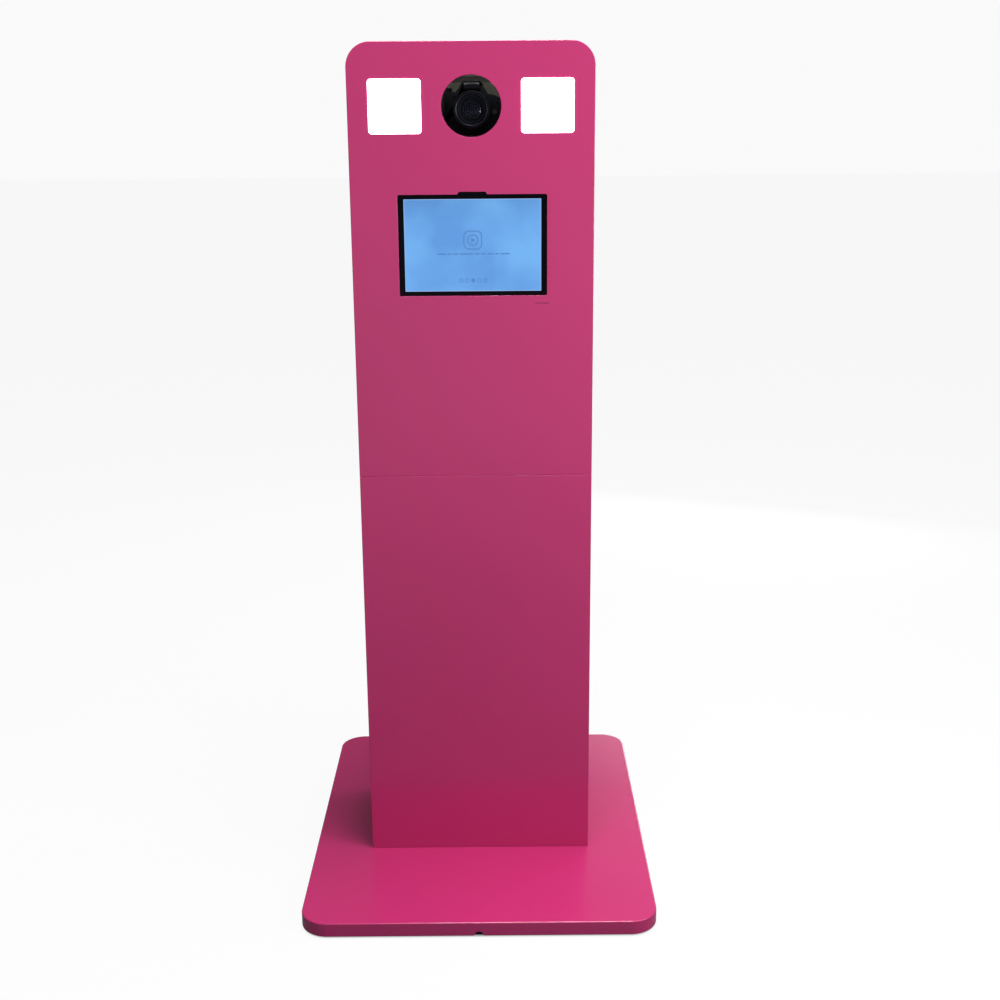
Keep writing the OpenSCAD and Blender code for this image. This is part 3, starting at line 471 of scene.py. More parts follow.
def lofted(name, rings, finish, closed=False):
    """A skin over a row of rings of as many points each. Its ends are capped, or joined if it is closed."""
    n, count = len(rings[0]), len(rings)
    faces = []
    for row in range(count if closed else count - 1):
        low, high = row * n, (row + 1) % count * n
        faces += [(low + i, low + (i + 1) % n, high + (i + 1) % n, high + i) for i in range(n)]
    if not closed:
        faces += [tuple(range(n)), tuple(range(n * (count - 1), n * count))]
    return mesh_piece(name, [point for ring in rings for point in ring], faces, finish)


def slab(name, outline, axis, start, end, finish, ease=0.0, steps=3, hole=None):
    """A plate of that outline, from start to end along an axis. A hole's outline has as many points."""
    rows = [(outline, start), (outline, end)] + ([(hole, end), (hole, start)] if hole else [])
    piece = lofted(name, [[set_in(axis, p, depth) for p in line] for line, depth in rows], finish, bool(hole))
    if ease:
        ease_edges(piece, ease, steps)
    return piece


def turned(name, outline, axis, middle, finish, steps=96):
    """A piece turned on a lathe: its outline is a row of radius and place along the axis."""
    rings = [[set_in(axis, p, along) for p in ring_line(radius, middle, steps)] for radius, along in outline]
    return lofted(name, rings, finish, closed=outline[0][0] > 0)


def profile(base, *points):
    """An outline for the lathe, from points in millimetres: the radius, and the place past the base."""
    return [(radius * MM, base + along * MM) for radius, along in points]


def add_slab(name, body, slot, *shape, **more):
    return hand_over(slab(name, *shape, **more), body)


def add_turned(name, body, slot, *shape):
    return hand_over(turned(name, *shape), body)


def middle_of(node, axes):
    """The middle of a node's box along two axes."""
    low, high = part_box(node)
    return tuple((getattr(low, axis) + getattr(high, axis)) / 2 for axis in axes)


# ---- what repeats, made by Geometry Nodes ----

class Tree:
    """A Geometry Nodes tree: named sizes go in, and realised geometry with its finish comes out."""

    def __init__(self, name, **sizes):
        self.group = bpy.data.node_groups.new(name, "GeometryNodeTree")
        self.face = self.group.interface
        self.face.new_socket("Geometry", in_out="OUTPUT", socket_type="NodeSocketGeometry")
        self.face.new_socket("Geometry", in_out="INPUT", socket_type="NodeSocketGeometry")
        for label, kind in {**sizes, "finish": "Material"}.items():
            self.face.new_socket(label, in_out="INPUT", socket_type="NodeSocket" + kind)
        self.given = self.group.nodes.new("NodeGroupInput").outputs

    def add(self, kind, inputs, out=0, **options):
        """One node's output."""
        return add_node(self.group, kind, inputs, **options).outputs[out]

    def done(self, geometry):
        real = self.add("GeometryNodeRealizeInstances", {"Geometry": geometry})
        coated = self.add("GeometryNodeSetMaterial", {"Geometry": real, "Material": self.given["finish"]})
        self.group.links.new(coated, self.group.nodes.new("NodeGroupOutput").inputs[0])
        return self

    def put(self, geometry):
        """Turn and move the geometry as the tree is told, and be done."""
        return self.done(self.add("GeometryNodeTransform", {
            "Geometry": geometry, "Translation": self.given["place"], "Rotation": self.given["turn"]}))

    def grow(self, name, points, finish, facing=None, **sizes):
        """Run the tree on those points, and give back its result as a plain piece."""
        host_mesh = bpy.data.meshes.new(name + "_points")
        host_mesh.from_pydata([tuple(p) for p in points], [], [])
        if facing:
            layer = host_mesh.attributes.new("facing", "FLOAT_VECTOR", "POINT")
            layer.data.foreach_set("vector", [c for f in facing for c in f])
        host = bpy.data.objects.new(name + "_points", host_mesh)
        link(host)
        modifier = host.modifiers.new("tree", "NODES")
        modifier.node_group = self.group
        values = {**sizes, "finish": FINISH[finish]}
        for socket in self.face.items_tree:
            if socket.in_out == "INPUT" and socket.name in values:
                modifier[socket.identifier] = values[socket.name]
        view = bpy.context.evaluated_depsgraph_get()
        mesh = bpy.data.meshes.new_from_object(host.evaluated_get(view))
        bpy.data.objects.remove(host)
        mesh.set_sharp_from_angle(angle=SHARP)
        return bpy.data.objects.new(name, mesh)


def set_on_points():
    """A copy of one made piece on each point, turned to face its way and spun at random."""
    tree = Tree("set_on_points", piece="Object", spin="Float", seed="Int")
    made = tree.add("GeometryNodeObjectInfo", {"Object": tree.given["piece"]}, out="Geometry")
    facing = tree.add("GeometryNodeInputNamedAttribute", {"Name": "facing"}, data_type="FLOAT_VECTOR")
    aligned = tree.add("FunctionNodeAlignRotationToVector", {"Vector": facing}, axis="Z")
    angle = tree.add("FunctionNodeRandomValue", {3: tree.given["spin"], "Seed": tree.given["seed"]}, out=1)
    spun = tree.add("FunctionNodeAxisAngleToRotation", {"Axis": (0, 0, 1), "Angle": angle})
    turn = tree.add("FunctionNodeRotateRotation", {0: aligned, 1: spun}, rotation_space="LOCAL")
    placed = tree.add("GeometryNodeInstanceOnPoints",
                      {"Points": tree.given["Geometry"], "Instance": made, "Rotation": turn})
    return tree.done(placed)


def rib_ring():
    """Bars set round a ring about +Z, each facing outwards, then moved and turned into place."""
    tree = Tree("rib_ring", count="Int", radius="Float", bar="Vector", place="Vector", turn="Rotation")
    size = {"Vertices": tree.given["count"], "Radius": tree.given["radius"]}
    ring = tree.add("GeometryNodeMeshCircle", size)
    outward = tree.add("FunctionNodeAlignRotationToVector",
                       {"Vector": tree.add("GeometryNodeInputPosition", {})}, axis="X")
    bar = tree.add("GeometryNodeMeshCube", {"Size": tree.given["bar"]})
    bars = tree.add("GeometryNodeInstanceOnPoints", {"Points": ring, "Instance": bar, "Rotation": outward})
    return tree.put(bars)


def tile_grid():
    """A made tile on each point of a flat grid, then moved and turned into place."""
    tree = Tree("tile_grid", piece="Object", width="Float", depth="Float", columns="Int", rows="Int",
                place="Vector", turn="Rotation")
    grid = tree.add("GeometryNodeMeshGrid", {
        "Size X": tree.given["width"], "Size Y": tree.given["depth"],
        "Vertices X": tree.given["columns"], "Vertices Y": tree.given["rows"]})
    made = tree.add("GeometryNodeObjectInfo", {"Object": tree.given["piece"]}, out="Geometry")
    tiles = tree.add("GeometryNodeInstanceOnPoints", {"Points": grid, "Instance": made})
    return tree.put(tiles)


ON_POINTS, RIBS, TILES = set_on_points(), rib_ring(), tile_grid()


def screw_head(radius, height):
    """A pan head with a cross recess, made at the origin facing +Z, to be set where screws go."""
    steps, arm, half_arm = 24, radius * 0.55, radius * 0.13
    rings = [[(x, y, h * height) for x, y in ring_line(radius * r, steps=steps)]
             for r, h in ((1.0, -0.3), (1.0, 0.25), (0.9, 0.7), (0.68, 1.0))]
    cross = []
    for i in range(steps):
        angle = math.tau * i / steps
        off = abs((math.degrees(angle) + 45) % 90 - 45)
        reach = arm / math.cos(math.radians(off)) if off < 16 else half_arm / math.sin(math.radians(off))
        cross.append((reach * math.cos(angle), reach * math.sin(angle)))
    rings += [[(x, y, h * height) for x, y in cross] for h in (1.0, 0.1)]
    return lofted("screw_head", rings, "zinc_steel")


def set_screws(name, body, points, facing, radius, height, finish="zinc_steel"):
    """Cross-recessed screws of that radius and height in millimetres, each turned as its driver left it."""
    made = screw_head(radius * MM, height * MM)
    link(made)
    count = len(points)
    piece = ON_POINTS.grow(name, points, finish, [facing] * count, piece=made, spin=3.1, seed=count)
    bpy.data.objects.remove(made)
    return hand_over(piece, body)


def lay_tiles(name, body, tile, width, depth, columns, rows, place, turn, finish):
    """Copies of a tile on a grid, turned and moved to their place."""
    link(tile)
    piece = TILES.grow(name, [(0, 0, 0)], finish, piece=tile, width=width, depth=depth, columns=columns,
                       rows=rows, place=place, turn=turn)
    bpy.data.objects.remove(tile)
    return hand_over(piece, body)


def set_ribs(name, body, count, radius, bar, place, turn, finish):
    """Ribs set round a ring."""
    piece = RIBS.grow(name, [(0, 0, 0)], finish, count=count, radius=radius, bar=bar, place=place, turn=turn)
    return hand_over(piece, body)


FACE_BACK = (math.radians(-90), 0, 0)   # turns a pattern made on +Z towards the back
FACE_FRONT = (math.radians(90), 0, 0)   # and towards the front


def face_of(node, axis, point, towards):
    """Where a node's outer surface lies along an axis, at a point across it, seen from that side."""
    bm = merged_copy(node)
    tree = BVHTree.FromBMesh(bm)
    bm.free()
    hit = tree.ray_cast(Vector(set_in(axis, point, towards * 3)), Vector(set_in(axis, (0, 0), -towards)))[0]
    return hit[ACROSS[axis][2]]


# ---- the cabinet ----

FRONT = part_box("upper_front_panel")[0].y
IN_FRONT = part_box("upper_front_panel")[1].y
IN_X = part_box("lower_side_right")[0].x
IN_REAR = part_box("upper_deck")[1].y
CORNER_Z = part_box("top_corners")[0].z
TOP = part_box("top_panel")[1].z
SLOTS_IN = 102 * MM                     # from a door's end to the middle of its air slots
TERMINALS_IN = 14 * MM                  # from the supply's end to the back of its terminal recess
BASE_CORNER = 55 * MM                   # the radius of the base plate's corners


def faces_inside(face):
    """Whether a board's face looks into the cabinet."""
    point = face.calc_center_median() + face.normal * 10 * MM
    return abs(point.x) < IN_X and IN_FRONT < point.y < IN_REAR and point.z < TOP


def round_opening(edge):
    """Whether an edge runs round an opening cut in a panel, well inside the panel's outline."""
    low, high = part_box("upper_front_panel")
    clear = 15 * MM
    return all(low.x + clear < v.co.x < high.x - clear and low.z + clear < v.co.z < high.z - clear
               for v in edge.verts)


def make_cabinet():
    """Lacquered boards, flush where they are glued and eased where they show."""
    glued = [(1, IN_FRONT), (2, CORNER_Z)]
    dress("base_plate", 2.2 * MM, 4)
    for node in ("lower_front_panel", "upper_front_panel"):
        dress(node, 1.0 * MM, 3, glued[:1], faces_inside, round_opening)
    for node in ("lower_side_left", "lower_side_right", "upper_side_left", "upper_side_right"):
        dress(node, 1.1 * MM, 3, glued, faces_inside)
    corner_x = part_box("top_panel")[1].x
    tops = glued + [(0, corner_x), (0, -corner_x)]
    for node in ("top_corners", "top_panel"):
        dress(node, 1.1 * MM, 3, tops, faces_inside)
    for node in ("rear_rail", "lower_door", "upper_door"):
        dress(node, 1.0 * MM, 3, (), faces_inside)


# how far the edges of all other nodes are eased, in millimetres, and in how many steps
PLAIN = (
    (0, 0, "power_cables light_boards tablet_display"),
    (0.2, 2, "tablet_glass"),
    (0.25, 2, "hinge_frame_leaves lower_door_leaves upper_door_leaves hinge_pins"),
    (0.3, 2, "inlet_socket fuse_drawer inlet_rocker inlet_pins tablet_power_button tablet_volume_button"),
    (0.35, 2, "lower_lock_barrel upper_lock_barrel lower_lock_cam upper_lock_cam"),
    (0.4, 2, "lock_strikes cable_clips tablet_clamps zoom_ring focus_ring"),
    (0.5, 2, "base_bolts light_housings mode_dial"),
    (0.6, 2, "lower_bottom_deck lower_top_deck upper_deck equipment_shelf camera_shelf section_bolts"),
    (0.6, 2, "camera_posts camera_carriage camera_cradle"),
    (0.6, 3, "shutter_button"),
    (0.7, 2, "cable_grommets"),
    (0.7, 3, "clamp_knob_left clamp_knob_right tripod_screw"),
    (0.8, 2, "base_feet power_supply light_diffusers tablet_body"),
    (1.5, 3, "camera_grip"),
    (1.6, 3, "camera_body"),
)


def make_plain_nodes():
    for ease, steps, nodes in PLAIN:
        for node in nodes.split():
            dress(node, ease * MM, steps)


def screw_hinges():
    """Three countersunk screws through each hinge leaf."""
    for node in ("hinge_frame_leaves", "lower_door_leaves", "upper_door_leaves"):
        points = []
        for low, high in solids(node):
            knuckle = middle_of("hinge_pins", "x")[0]
            right = high.x > knuckle + 8 * MM
            x = ((high.x if right else low.x) + knuckle + (4.6 if right else -4.6) * MM) / 2
            middle = (low.z + high.z) / 2
            for z in (-24 * MM, 0, 24 * MM):
                points.append((x, face_of(node, "y", (x, middle + z), 1), middle + z))
        set_screws(node + "_screws", body_of(node), points, (0, 1, 0), 2.7, 0.8, "satin_steel")


def finish_locks():
    """Each lock shows a key slot in its plug, and a nut that holds its tongue."""
    for lock in ("lower_lock", "upper_lock"):
        name = lock + "_cam"
        low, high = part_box(name)
        middle = middle_of(lock + "_barrel", "xz")
        add_slab(name + "_key_slot", lock, "lock_chrome", oblong(1.5, 7.5, 0.6, middle, 4),
                 "y", high.y - 0.3 * MM, high.y + 0.04 * MM, "black_plastic")
        rim = profile(high.y, (4.9, -0.2), (5.6, -0.2), (5.5, 0.18), (5.0, 0.18))
        add_turned(name + "_plug_rim", lock, "lock_chrome", rim, "y", middle, "lock_chrome", 48)
        add_slab(name + "_nut", lock, "lock_chrome", ring_line(4.6 * MM, middle, 6), "y",
                 low.y - 2.4 * MM, low.y, "zinc_steel", 0.3 * MM, 2)


def screw_strikes():
    points = []
    for low, high in solids("lock_strikes"):
        middle = (low.z + high.z) / 2
        points += [(high.x - 2 * MM, low.y + 9 * MM, middle + z) for z in (-13 * MM, 13 * MM)]
    set_screws("strike_screws", "cabinet", points, (-1, 0, 0), 3, 1.6)


def make_dust_filters():
    """Behind each door's air slots, a foam pad under a wire screen, in a frame that is screwed on."""
    wide, tall = 164, 112
    for door in ("lower_door", "upper_door"):
        low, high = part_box(door)
        inside = low.y
        z = low.z + SLOTS_IN if door == "lower_door" else high.z - SLOTS_IN
        add_slab(door + "_dust_pad", door, "rubber_pad", oblong(wide, tall, 4, (0, z)), "y",
                 inside - 3.2 * MM, inside - 1.2 * MM, "filter_foam")
        add_slab(door + "_filter_frame", door, "black_steel",
                 oblong(wide + 16, tall + 16, 8, (0, z)), "y", inside - 3.6 * MM, inside,
                 "black_steel", 0.5 * MM, 2, oblong(wide - 8, tall - 8, 3, (0, z)))
        for way, length, spread, count, depth, roll in (
                ("rows", wide - 4, tall - 10, 26, 0.8, 0),
                ("columns", tall - 4, wide - 10, 40, 0.4, math.radians(90))):
            wire = slab("wire", oblong(length, 0.5, 0.12, steps=1), "z", -0.25 * MM, 0.25 * MM, "satin_steel")
            lay_tiles(f"{door}_screen_{way}", door, wire, 0.0, spread * MM, 2, count,
                      (0, inside - depth * MM, z), (math.radians(-90), roll, 0), "satin_steel")
        corners = [(x * (wide / 2 + 2) * MM, inside - 3.6 * MM, z + up * (tall / 2 + 2) * MM)
                   for x in (-1, 1) for up in (-1, 1)]
        set_screws(door + "_filter_screws", door, corners, (0, -1, 0), 2.4, 1.3)


def detail_inlet():
    """On and off marks on the rocker, and a finger grip on the fuse drawer."""
    x, z = middle_of("inlet_rocker", "xz")
    on, off = (x, z + 6 * MM), (x, z - 6 * MM)
    for name, point, outline, hole in (
            ("rocker_on_mark", on, oblong(0.9, 4.4, 0.4, on, 3), None),
            ("rocker_off_mark", off, ring_line(2.3 * MM, off, 32), ring_line(1.6 * MM, off, 32))):
        face = face_of("inlet_rocker", "y", point, 1)
        add_slab(name, "inlet_switch", "red_plastic", outline, "y", face - 0.8 * MM, face + 0.06 * MM,
                 "white_print", hole=hole)
    x, z = middle_of("fuse_drawer", "xz")
    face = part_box("fuse_drawer")[1].y
    add_slab("fuse_drawer_grip", "fuse_drawer", "black_plastic",
             oblong(4.6, 2.0, 0.6, (x, z + 5 * MM), 3), "y", face - 0.4 * MM, face + 0.3 * MM,
             "black_plastic", 0.2 * MM, 2)


def detail_supply():
    """The supply's cover is perforated, and its terminals stand in a row between barriers."""
    low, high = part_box("power_supply")
    y = (low.y + high.y) / 2
    hole = slab("vent", ring_line(1.5 * MM, steps=6), "z", -0.1 * MM, 0.06 * MM, "black_plastic")
    lay_tiles("supply_vents", "cabinet", hole, 112 * MM, 78 * MM, 23, 16, (low.x + 68 * MM, y, high.z),
              (0, 0, 0), "black_plastic")
    end = high.x - TERMINALS_IN
    top = low.z + 18 * MM
    add_slab("terminal_block", "cabinet", "black_plastic",
             oblong(9.8, 77.6, 1, (end + 5.1 * MM, y)), "z", top - 8 * MM, top + 0.2 * MM,
             "black_plastic", 0.3 * MM, 2)
    barrier = slab("barrier", oblong(10.2, 1.2, 0.4, steps=2), "z", 0, 4.6 * MM,
                   "black_plastic")
    lay_tiles("terminal_barriers", "cabinet", barrier, 0.0, 76 * MM, 2, 9, (end + 5.2 * MM, y, top),
              (0, 0, 0), "black_plastic")
    points = [(end + 5 * MM, y + (i - 3.5) * 9.5 * MM, top + 0.3 * MM) for i in range(8)]
    set_screws("terminal_screws", "cabinet", points, (0, 0, 1), 3, 1.6)


def detail_lights():
    """The housings' screws, and the boards' chips."""
    points = []
    for low, high in solids("light_housings"):
        x = (low.x + high.x) / 2
        points += [(x, face_of("light_housings", "y", (x, z), 1), z)
                   for z in (low.z + 7 * MM, high.z - 7 * MM)]
    set_screws("housing_screws", "cabinet", points, (0, 1, 0), 3.4, 2)
    for i, (low, high) in enumerate(solids("light_boards")):
        chip = slab("chip", oblong(3.5, 2.8, 0.3, steps=1), "z", 0, 0.8 * MM, "lit_diffuser")
        place = ((low.x + high.x) / 2, low.y, (low.z + high.z) / 2)
        lay_tiles(f"light_chips_{i}", "cabinet", chip, 94 * MM, 94 * MM, 9, 9, place, FACE_FRONT,
                  "lit_diffuser")


def screw_clamps():
    """Two screws through each of the tablet's clamps."""
    points = []
    for low, high in solids("tablet_clamps"):
        z = low.z + 6 * MM if low.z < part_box("tablet_body")[0].z else high.z - 6 * MM
        points += [((low.x + high.x) / 2 + x, high.y - 0.3 * MM, z) for x in (-8 * MM, 8 * MM)]
    set_screws("clamp_screws", "cabinet", points, (0, 1, 0), 3.5, 1.4)


def draw_on_display(name, outline, finish="display_ink", hole=None):
    """A shape that the display shows, as a thin skin on its front."""
    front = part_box("tablet_display")[0].y
    add_slab(name, "cabinet", "lit_display", outline, "y", front - 0.05 * MM, front, finish, hole=hole)


def bar_at(length, middle):
    return oblong(length, 2.6, 1.1, middle, 4)


def detail_tablet():
    """The tablet's own lens over the display, and what the display shows: a start button and plain bars."""
    low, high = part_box("tablet_display")
    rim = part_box("tablet_body")
    x, z = middle = middle_of("tablet_display", "xz")
    lens_z = (high.z + rim[1].z) / 2 + 1.5 * MM
    add_turned("tablet_lens", "cabinet", "black_glass", profile(low.y, (0, -0.1), (1.7, -0.1), (2.0, 0)), "y",
               (x, lens_z), "inner_glass", 40)
    wide, tall, edge = (high.x - low.x) / MM, (high.z - low.z) / MM, 2.4
    draw_on_display("display_edge", oblong(wide, tall, 1, middle), "display_glow",
                    oblong(wide - edge, tall - edge, 0.8, middle))
    button = (x, z + 10 * MM)
    draw_on_display("start_button_frame", oblong(36, 36, 11, button, 10),
                    hole=oblong(31.6, 31.6, 8.8, button, 10))
    draw_on_display("start_button_ring", ring_line(10.8 * MM, button), hole=ring_line(8.6 * MM, button))
    arrow = [(button[0] + x * MM, button[1] + z * MM) for x, z in ((-3.2, -5), (5.6, 0), (-3.2, 5))]
    draw_on_display("start_button_arrow", rounded(arrow, 0.9 * MM, 4))
    start = x - 68 * MM
    for i, length in enumerate((17, 7, 12, 26, 9, 10, 12, 8, 18)):
        draw_on_display(f"prompt_bar_{i}", bar_at(length, (start + length * MM / 2, z - 16 * MM)))
        start += (length + 2.4) * MM
    for i in range(5):
        dot = (x + (i - 2) * 11.5 * MM, z - 66 * MM)
        draw_on_display(f"step_dot_{i}", ring_line(4.1 * MM, dot, 32),
                        hole=ring_line(2.7 * MM, dot, 32) if i != 2 else None)
    for i, (start, length) in enumerate(((-29, 7), (-21, 4), (-16, 14))):
        bar = bar_at(length, (rim[1].x + (start + length / 2) * MM, rim[0].z - 9 * MM))
        add_slab(f"label_bar_{i}", "cabinet", "pink_lacquer", bar, "y", FRONT - 0.03 * MM, FRONT + 0.1 * MM,
                 "label_print")


def screw_posts():
    """Two screws through each foot of the camera's posts."""
    points = []
    for low, high in solids("camera_posts"):
        x = low.x + 12 * MM if low.x < 0 else high.x - 12 * MM
        points += [(x, y, low.z + 4 * MM) for y in (low.y + 9 * MM, high.y - 9 * MM)]
    set_screws("post_screws", "cabinet", points, (0, 0, 1), 4, 2.4)


LENS_FRONT, LENS_BACK = (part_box("lens_barrel")[i].y for i in (0, 1))
AXIS_Z = middle_of("zoom_ring", "z")[0]
AXIS = (0, AXIS_Z)


def lens_part(name, outline, finish, middle=AXIS, steps=96, stands_for=()):
    """A turned piece of the camera, on an axis that runs from front to back."""
    hand_over(turned(name, outline, "y", middle, finish, steps), "camera", stands_for)


def make_barrel():
    """The barrel: two seats for its rings, a rolled front, baffle steps and a flat behind the glass."""
    zoom, focus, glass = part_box("zoom_ring"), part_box("focus_ring"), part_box("lens_glass")
    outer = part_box("lens_barrel")[1].x
    front, back = LENS_FRONT, LENS_BACK
    neck, tip = zoom[1].x - 4.7 * MM, outer - 3.5 * MM
    gap = 0.2 * MM
    wall = [(0, back), (outer - 0.5 * MM, back), (outer, back - 0.5 * MM)]
    for ring, seat in ((zoom, neck), (focus, tip)):
        near, far = ring[0].y - gap, ring[1].y + gap
        wall += [(outer, far), (seat, far), (seat, near), (outer, near)]
    wall += [(outer, front + 2.4 * MM), (outer - 0.7 * MM, front + 0.9 * MM),
             (outer - 2 * MM, front + 0.2 * MM), (tip + 0.4 * MM, front), (tip, front + 0.3 * MM),
             (tip, front + 8 * MM)]
    steps, cone, seat = 6, glass[1].x + 0.1 * MM, glass[1].y + 0.6 * MM
    for i in range(steps):
        radius = tip - (tip - cone) * (i + 1) / steps
        depth = front + 8 * MM + 4 * MM * i / steps
        wall += [(radius + 0.55 * MM, depth + 0.1 * MM), (radius, depth + 0.67 * MM)]
    wall += [(cone, front + 12.5 * MM), (cone, seat), (0, seat)]
    lens_part("lens_barrel_finished", wall, "camera_shell", steps=128,
              stands_for=["lens_barrel"])
    thread = [(tip - 0.02 * MM, front + 0.8 * MM)]
    for i in range(9):
        depth = front + (0.8 + 0.7 * i) * MM
        thread += [(tip - 0.2 * MM, depth + 0.1 * MM), (tip - 0.55 * MM, depth + 0.35 * MM)]
    thread += [(tip - 0.2 * MM, front + 7.4 * MM), (tip - 0.02 * MM, front + 7.4 * MM)]
    lens_part("filter_thread", thread, "camera_metal")
    rim = [(tip + out * MM, front + along * MM)
           for out, along in ((0.9, -0.25), (0.2, -0.45), (-0.5, -0.1), (-0.5, 0.7), (0.9, 0.7))]
    lens_part("lens_front_rim", rim, "rim_metal", steps=128)
    lens_part("lens_retaining_ring",
              profile(front, (24.0, 10.8), (24.0, 8.6), (24.8, 8.5), (26.6, 9.6), (26.8, 10.4)), "rim_metal")


def make_lens_glass():
    """The front glass, and a dark glass and a baffle behind it."""
    low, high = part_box("lens_glass")
    radius, seat = high.x, high.y
    crown = seat - low.y - 2 * MM
    dome = [(radius * k / 10, low.y + crown * (k / 10) ** 2) for k in range(11)]
    back = [(r, y + 1.5 * MM) for r, y in reversed(dome[:-1])]
    lens_part("lens_glass_finished", dome + [(radius, seat - 0.3 * MM)] + back, "coated_glass",
              stands_for=["lens_glass"])
    inner = radius * 0.72
    deep = [(inner * k / 8, seat - 2.6 * MM + 2.4 * MM * (k / 8) ** 2) for k in range(9)]
    lens_part("lens_inner_glass", deep + [(inner, seat + 0.3 * MM), (0, seat + 0.3 * MM)], "inner_glass")
    hole, wall = radius * 0.74, radius - 0.1 * MM
    lens_part("lens_baffle", [(hole, seat - 1.2 * MM), (wall, seat - 1.8 * MM), (wall, seat + 0.4 * MM),
                              (hole, seat + 0.4 * MM)], "camera_shell")


def rib_lens_rings():
    """Rubber ribs round the zoom and focus rings, and scale ticks between them."""
    for ring, count, tall, wide in (("zoom_ring", 66, 0.7, 1.7), ("focus_ring", 84, 0.5, 1.2)):
        low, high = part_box(ring)
        bar = (tall * MM, wide * MM, high.y - low.y - 3 * MM)
        set_ribs(ring + "_ribs", ring, count, high.x, bar, (0, (low.y + high.y) / 2, AXIS_Z), FACE_FRONT,
                 "camera_rubber")
    zoom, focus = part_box("zoom_ring"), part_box("focus_ring")
    set_ribs("lens_scale_ticks", "camera", 36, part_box("lens_barrel")[1].x, (0.1 * MM, 0.5 * MM, 3 * MM),
             (0, (zoom[0].y + focus[1].y) / 2, AXIS_Z), FACE_FRONT, "white_print")


def detail_camera_front():
    """The bayonet ring, the lens catch, two lamps, and a pale strip on the flash housing's brow, a painted
    highlight.
    """
    mount = LENS_BACK + 4 * MM
    lens_part("bayonet_ring", profile(LENS_BACK, (32.8, 0.6), (32.8, -0.3), (34.6, -0.3), (34.9, 0.6)),
              "camera_metal")
    catch = (43.5 * MM, AXIS_Z - 4 * MM)
    lens_part("lens_catch", profile(mount, (0, 0.5), (4.6, 0.5), (4.6, -1.2), (4.0, -1.9), (0, -2.0)),
              "camera_metal", middle=catch, steps=40)
    lens_part("lens_catch_rim", profile(mount, (4.9, 0.4), (4.9, -0.7), (6.4, -0.5), (6.6, 0.4)),
              "camera_shell", catch, 40)
    for name, x, z, radius in (("focus_lamp", -33, 24, 2.4), ("front_sensor", 49, 12, 1.8)):
        lamp = profile(mount, (0, 0.4), (radius, 0.4), (radius, -0.5), (radius * 0.6, -1.1), (0, -1.3))
        lens_part(name, lamp, "inner_glass", (x * MM, AXIS_Z + z * MM), 32)
    # a thin pale strip along the flash housing's brow: a painted highlight where the housing's bevel catches
    # light
    rings = []
    for i in range(25):
        t = i / 24 * 2 - 1
        x, sag, half = 14.4 * MM * t, 1.3 * MM * t * t, (0.45 + 1.1 * t * t) * MM
        along = 48.9 * MM + AXIS_Z - sag
        rings.append([(x, mount - 14.0 * MM + (6 / 5) * (along + h - AXIS_Z - 47 * MM) - d * MM, along + h)
                      for h, d in ((-half, -0.6), (-half, 0.35), (half, 0.35), (half, -0.6))])
    trim = lofted("flash_housing_trim", rings, "painted_highlight_trim")
    ease_edges(trim, 0.2 * MM, 2)
    hand_over(trim, "camera")


def detail_camera_back():
    """The rear screen, the eyepiece, a control wheel and buttons."""
    screen = (-7 * MM, AXIS_Z - 10 * MM)
    back = face_of("camera_body", "y", screen, 1)
    add_slab("rear_screen", "camera", "black_glass", oblong(68, 48, 2, screen), "y",
             back - 0.2 * MM, back + 0.5 * MM, "black_glass", 0.2 * MM, 2)
    add_slab("rear_screen_bezel", "camera", "camera_shell", oblong(76, 54.5, 3, screen), "y",
             back - 0.2 * MM, back + 0.7 * MM, "camera_shell", 0.3 * MM, 2,
             oblong(69, 49, 2, screen))
    eye = (0, AXIS_Z + 37 * MM)
    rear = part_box("camera_body")[1].y
    add_slab("eyecup_rubber", "camera", "camera_rubber", oblong(40, 26, 7, eye), "y",
             rear - 5 * MM, rear + 2.5 * MM, "camera_rubber", 1.4 * MM, 3,
             oblong(28, 16, 5, eye))
    pane = face_of("camera_body", "y", eye, 1)
    add_slab("eyepiece_glass", "camera", "coated_glass", oblong(26, 15, 3, eye), "y",
             pane - 0.2 * MM, pane + 0.8 * MM, "inner_glass", 0.3 * MM, 2)
    hub = (45 * MM, AXIS_Z - 12 * MM)
    back = face_of("camera_body", "y", hub, 1)
    wheel = profile(back, (3.4, -0.4), (10.2, -0.4), (10.2, 0.8), (9.2, 1.6), (4.4, 1.6), (3.4, 1.1))
    lens_part("rear_wheel", wheel, "camera_metal", middle=hub, steps=64)
    set_ribs("rear_wheel_ribs", "camera", 40, 10.1 * MM, (0.35 * MM, 0.7 * MM, 1.1 * MM),
             (hub[0], back + 0.3 * MM, hub[1]), FACE_BACK, "camera_metal")
    buttons = ((45, -12, 2.9), (40, 8, 2.6), (50, 8, 2.6), (40, -32, 2.6), (50, -32, 2.6), (-56, 8, 2.6),
               (-56, -4, 2.6))
    for i, (x, z, radius) in enumerate(buttons):
        knob = profile(back, (0, -0.4), (radius, -0.4), (radius, 0.9), (radius * 0.8, 1.4), (0, 1.5))
        lens_part(f"rear_button_{i}", knob, "camera_shell", (x * MM, AXIS_Z + z * MM), 32)


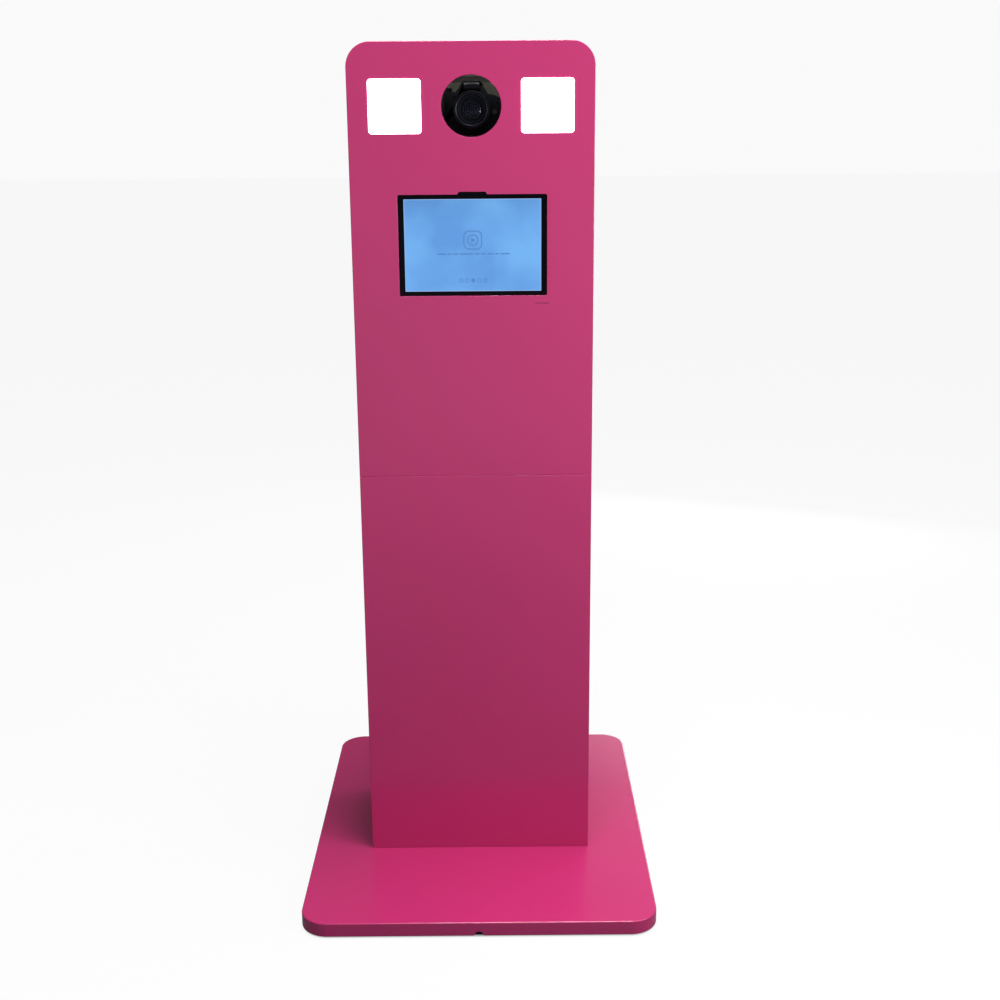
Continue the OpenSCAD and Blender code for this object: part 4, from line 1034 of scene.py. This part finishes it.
def detail_camera_top():
    """The accessory shoe, the shutter collar, and the mode dial's knurl and marks."""
    low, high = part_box("camera_body")
    y = (low.y + 14 * MM + high.y - 12 * MM) / 2 - 2 * MM
    shoe = [("accessory_shoe", 19, 1, 0, -0.3, 0.6, 0.2)]
    for side, sign in (("left", -1), ("right", 1)):
        shoe += [(f"accessory_shoe_rail_{side}", 3, 0.4, sign * 8.2, 1.8, 2.6, 0.15),
                 (f"accessory_shoe_web_{side}", 1, 0.2, sign * 9.2, 0.5, 1.9, 0)]
    for name, width, corner, x, start, end, ease in shoe:
        add_slab(name, "camera", "camera_metal", oblong(width, 18, corner, (x * MM, y)), "z",
                 high.z + start * MM, high.z + end * MM, "camera_metal", ease * MM, 2)
    collar = profile(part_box("camera_grip")[1].z, (6.3, -0.5), (8.2, -0.5), (8.0, 0.5), (6.5, 0.9))
    add_turned("shutter_collar", "camera", "camera_metal", collar, "z", middle_of("shutter_button", "xy"),
               "camera_metal", 48)
    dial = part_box("mode_dial")
    top, middle = dial[1].z, middle_of("mode_dial", "xy")
    radius = (dial[1].x - dial[0].x) / 2
    set_ribs("mode_dial_knurl", "mode_dial", 44, radius, (0.5 * MM, 0.7 * MM, 5 * MM),
             (*middle, top - 3.6 * MM), (0, 0, 0), "camera_shell")
    set_ribs("mode_dial_marks", "mode_dial", 8, radius * 0.7, (2.4 * MM, 0.6 * MM, 0.1 * MM), (*middle, top),
             (0, 0, 0), "white_print")
    boss = [(radius * out, top + up * MM) for out, up in ((0.3, -0.2), (0.42, -0.2), (0.4, 0.2), (0.32, 0.2))]
    add_turned("mode_dial_boss", "mode_dial", "camera_shell", boss, "z", middle, "camera_metal", 48)


def lay_floor():
    """A wide pale floor. To the camera it glows evenly past the base, with a painted shadow where the glow
    fades out under the base's footprint; to reflections and bounced light it gives back little light, and
    glows less near the booth, a painted shade.
    """
    f = Finish("floor", (0.06, 0.06, 0.06), 0.9)

    def vector(operation, *inputs):
        return f.add("ShaderNodeVectorMath", dict(enumerate(inputs)), operation=operation).outputs

    # painted shade: the glow that reflections and bounced light see is weak near the booth and grows with
    # distance
    glow = f.between(vector("LENGTH", f.point)["Value"], 0.02, 0.5, 0.8, 4.5)
    room = f.add("ShaderNodeEmission", {"Color": (0.95, 0.97, 1, 1), "Strength": glow}).outputs[0]
    dark = f.add("ShaderNodeBsdfDiffuse", {"Color": (0.14, 0.14, 0.15, 1)}).outputs[0]
    dull = f.add("ShaderNodeAddShader", {0: dark, 1: room}).outputs[0]
    # painted shadow: the glow that the camera sees fades to nothing under the base's footprint and just round
    # it
    half = Vector((cad_box[1][0] - BASE_CORNER, cad_box[1][1] - BASE_CORNER, 0))
    beyond = vector("SUBTRACT", vector("ABSOLUTE", f.point)[0], half)[0]
    edge = vector("LENGTH", vector("MAXIMUM", beyond, (0, 0, 0))[0])["Value"]
    glow_past_painted_shadow = f.between(edge, 0, 0.92, BASE_CORNER * 0.8, BASE_CORNER)
    glow_with_painted_shadow = f.add("ShaderNodeEmission", {"Color": (1, 1, 1, 1), "Strength": glow_past_painted_shadow}).outputs[0]
    shade = f.mottle(f.noise(1.5, 4), 0.97, 1.03)
    pale = f.add("ShaderNodeBsdfDiffuse", {"Color": shade}).outputs[0]
    lit = f.add("ShaderNodeAddShader", {0: pale, 1: glow_with_painted_shadow}).outputs[0]
    to_camera = f.add("ShaderNodeLightPath", {}).outputs["Is Camera Ray"]
    whole = f.add("ShaderNodeMixShader", {0: to_camera, 1: dull, 2: lit}).outputs[0]
    f.tree.links.new(whole, f.tree.nodes["Material Output"].inputs[0])
    reach = 40
    mesh = bpy.data.meshes.new("floor")
    mesh.from_pydata([(x * reach, y * reach, 0) for x, y in ((-1, -1), (1, -1), (1, 1), (-1, 1))], [],
                     [(0, 1, 2, 3)])
    mesh.materials.append(f.material)
    floor = bpy.data.objects.new("floor", mesh)
    link(floor)


for make in (place_camera, light_studio, lay_floor, make_cabinet, make_plain_nodes, screw_hinges,
             finish_locks, screw_strikes, make_dust_filters, detail_inlet, detail_supply, detail_lights,
             screw_clamps, detail_tablet, screw_posts, make_barrel, make_lens_glass, rib_lens_rings,
             detail_camera_front, detail_camera_back, detail_camera_top):
    make()
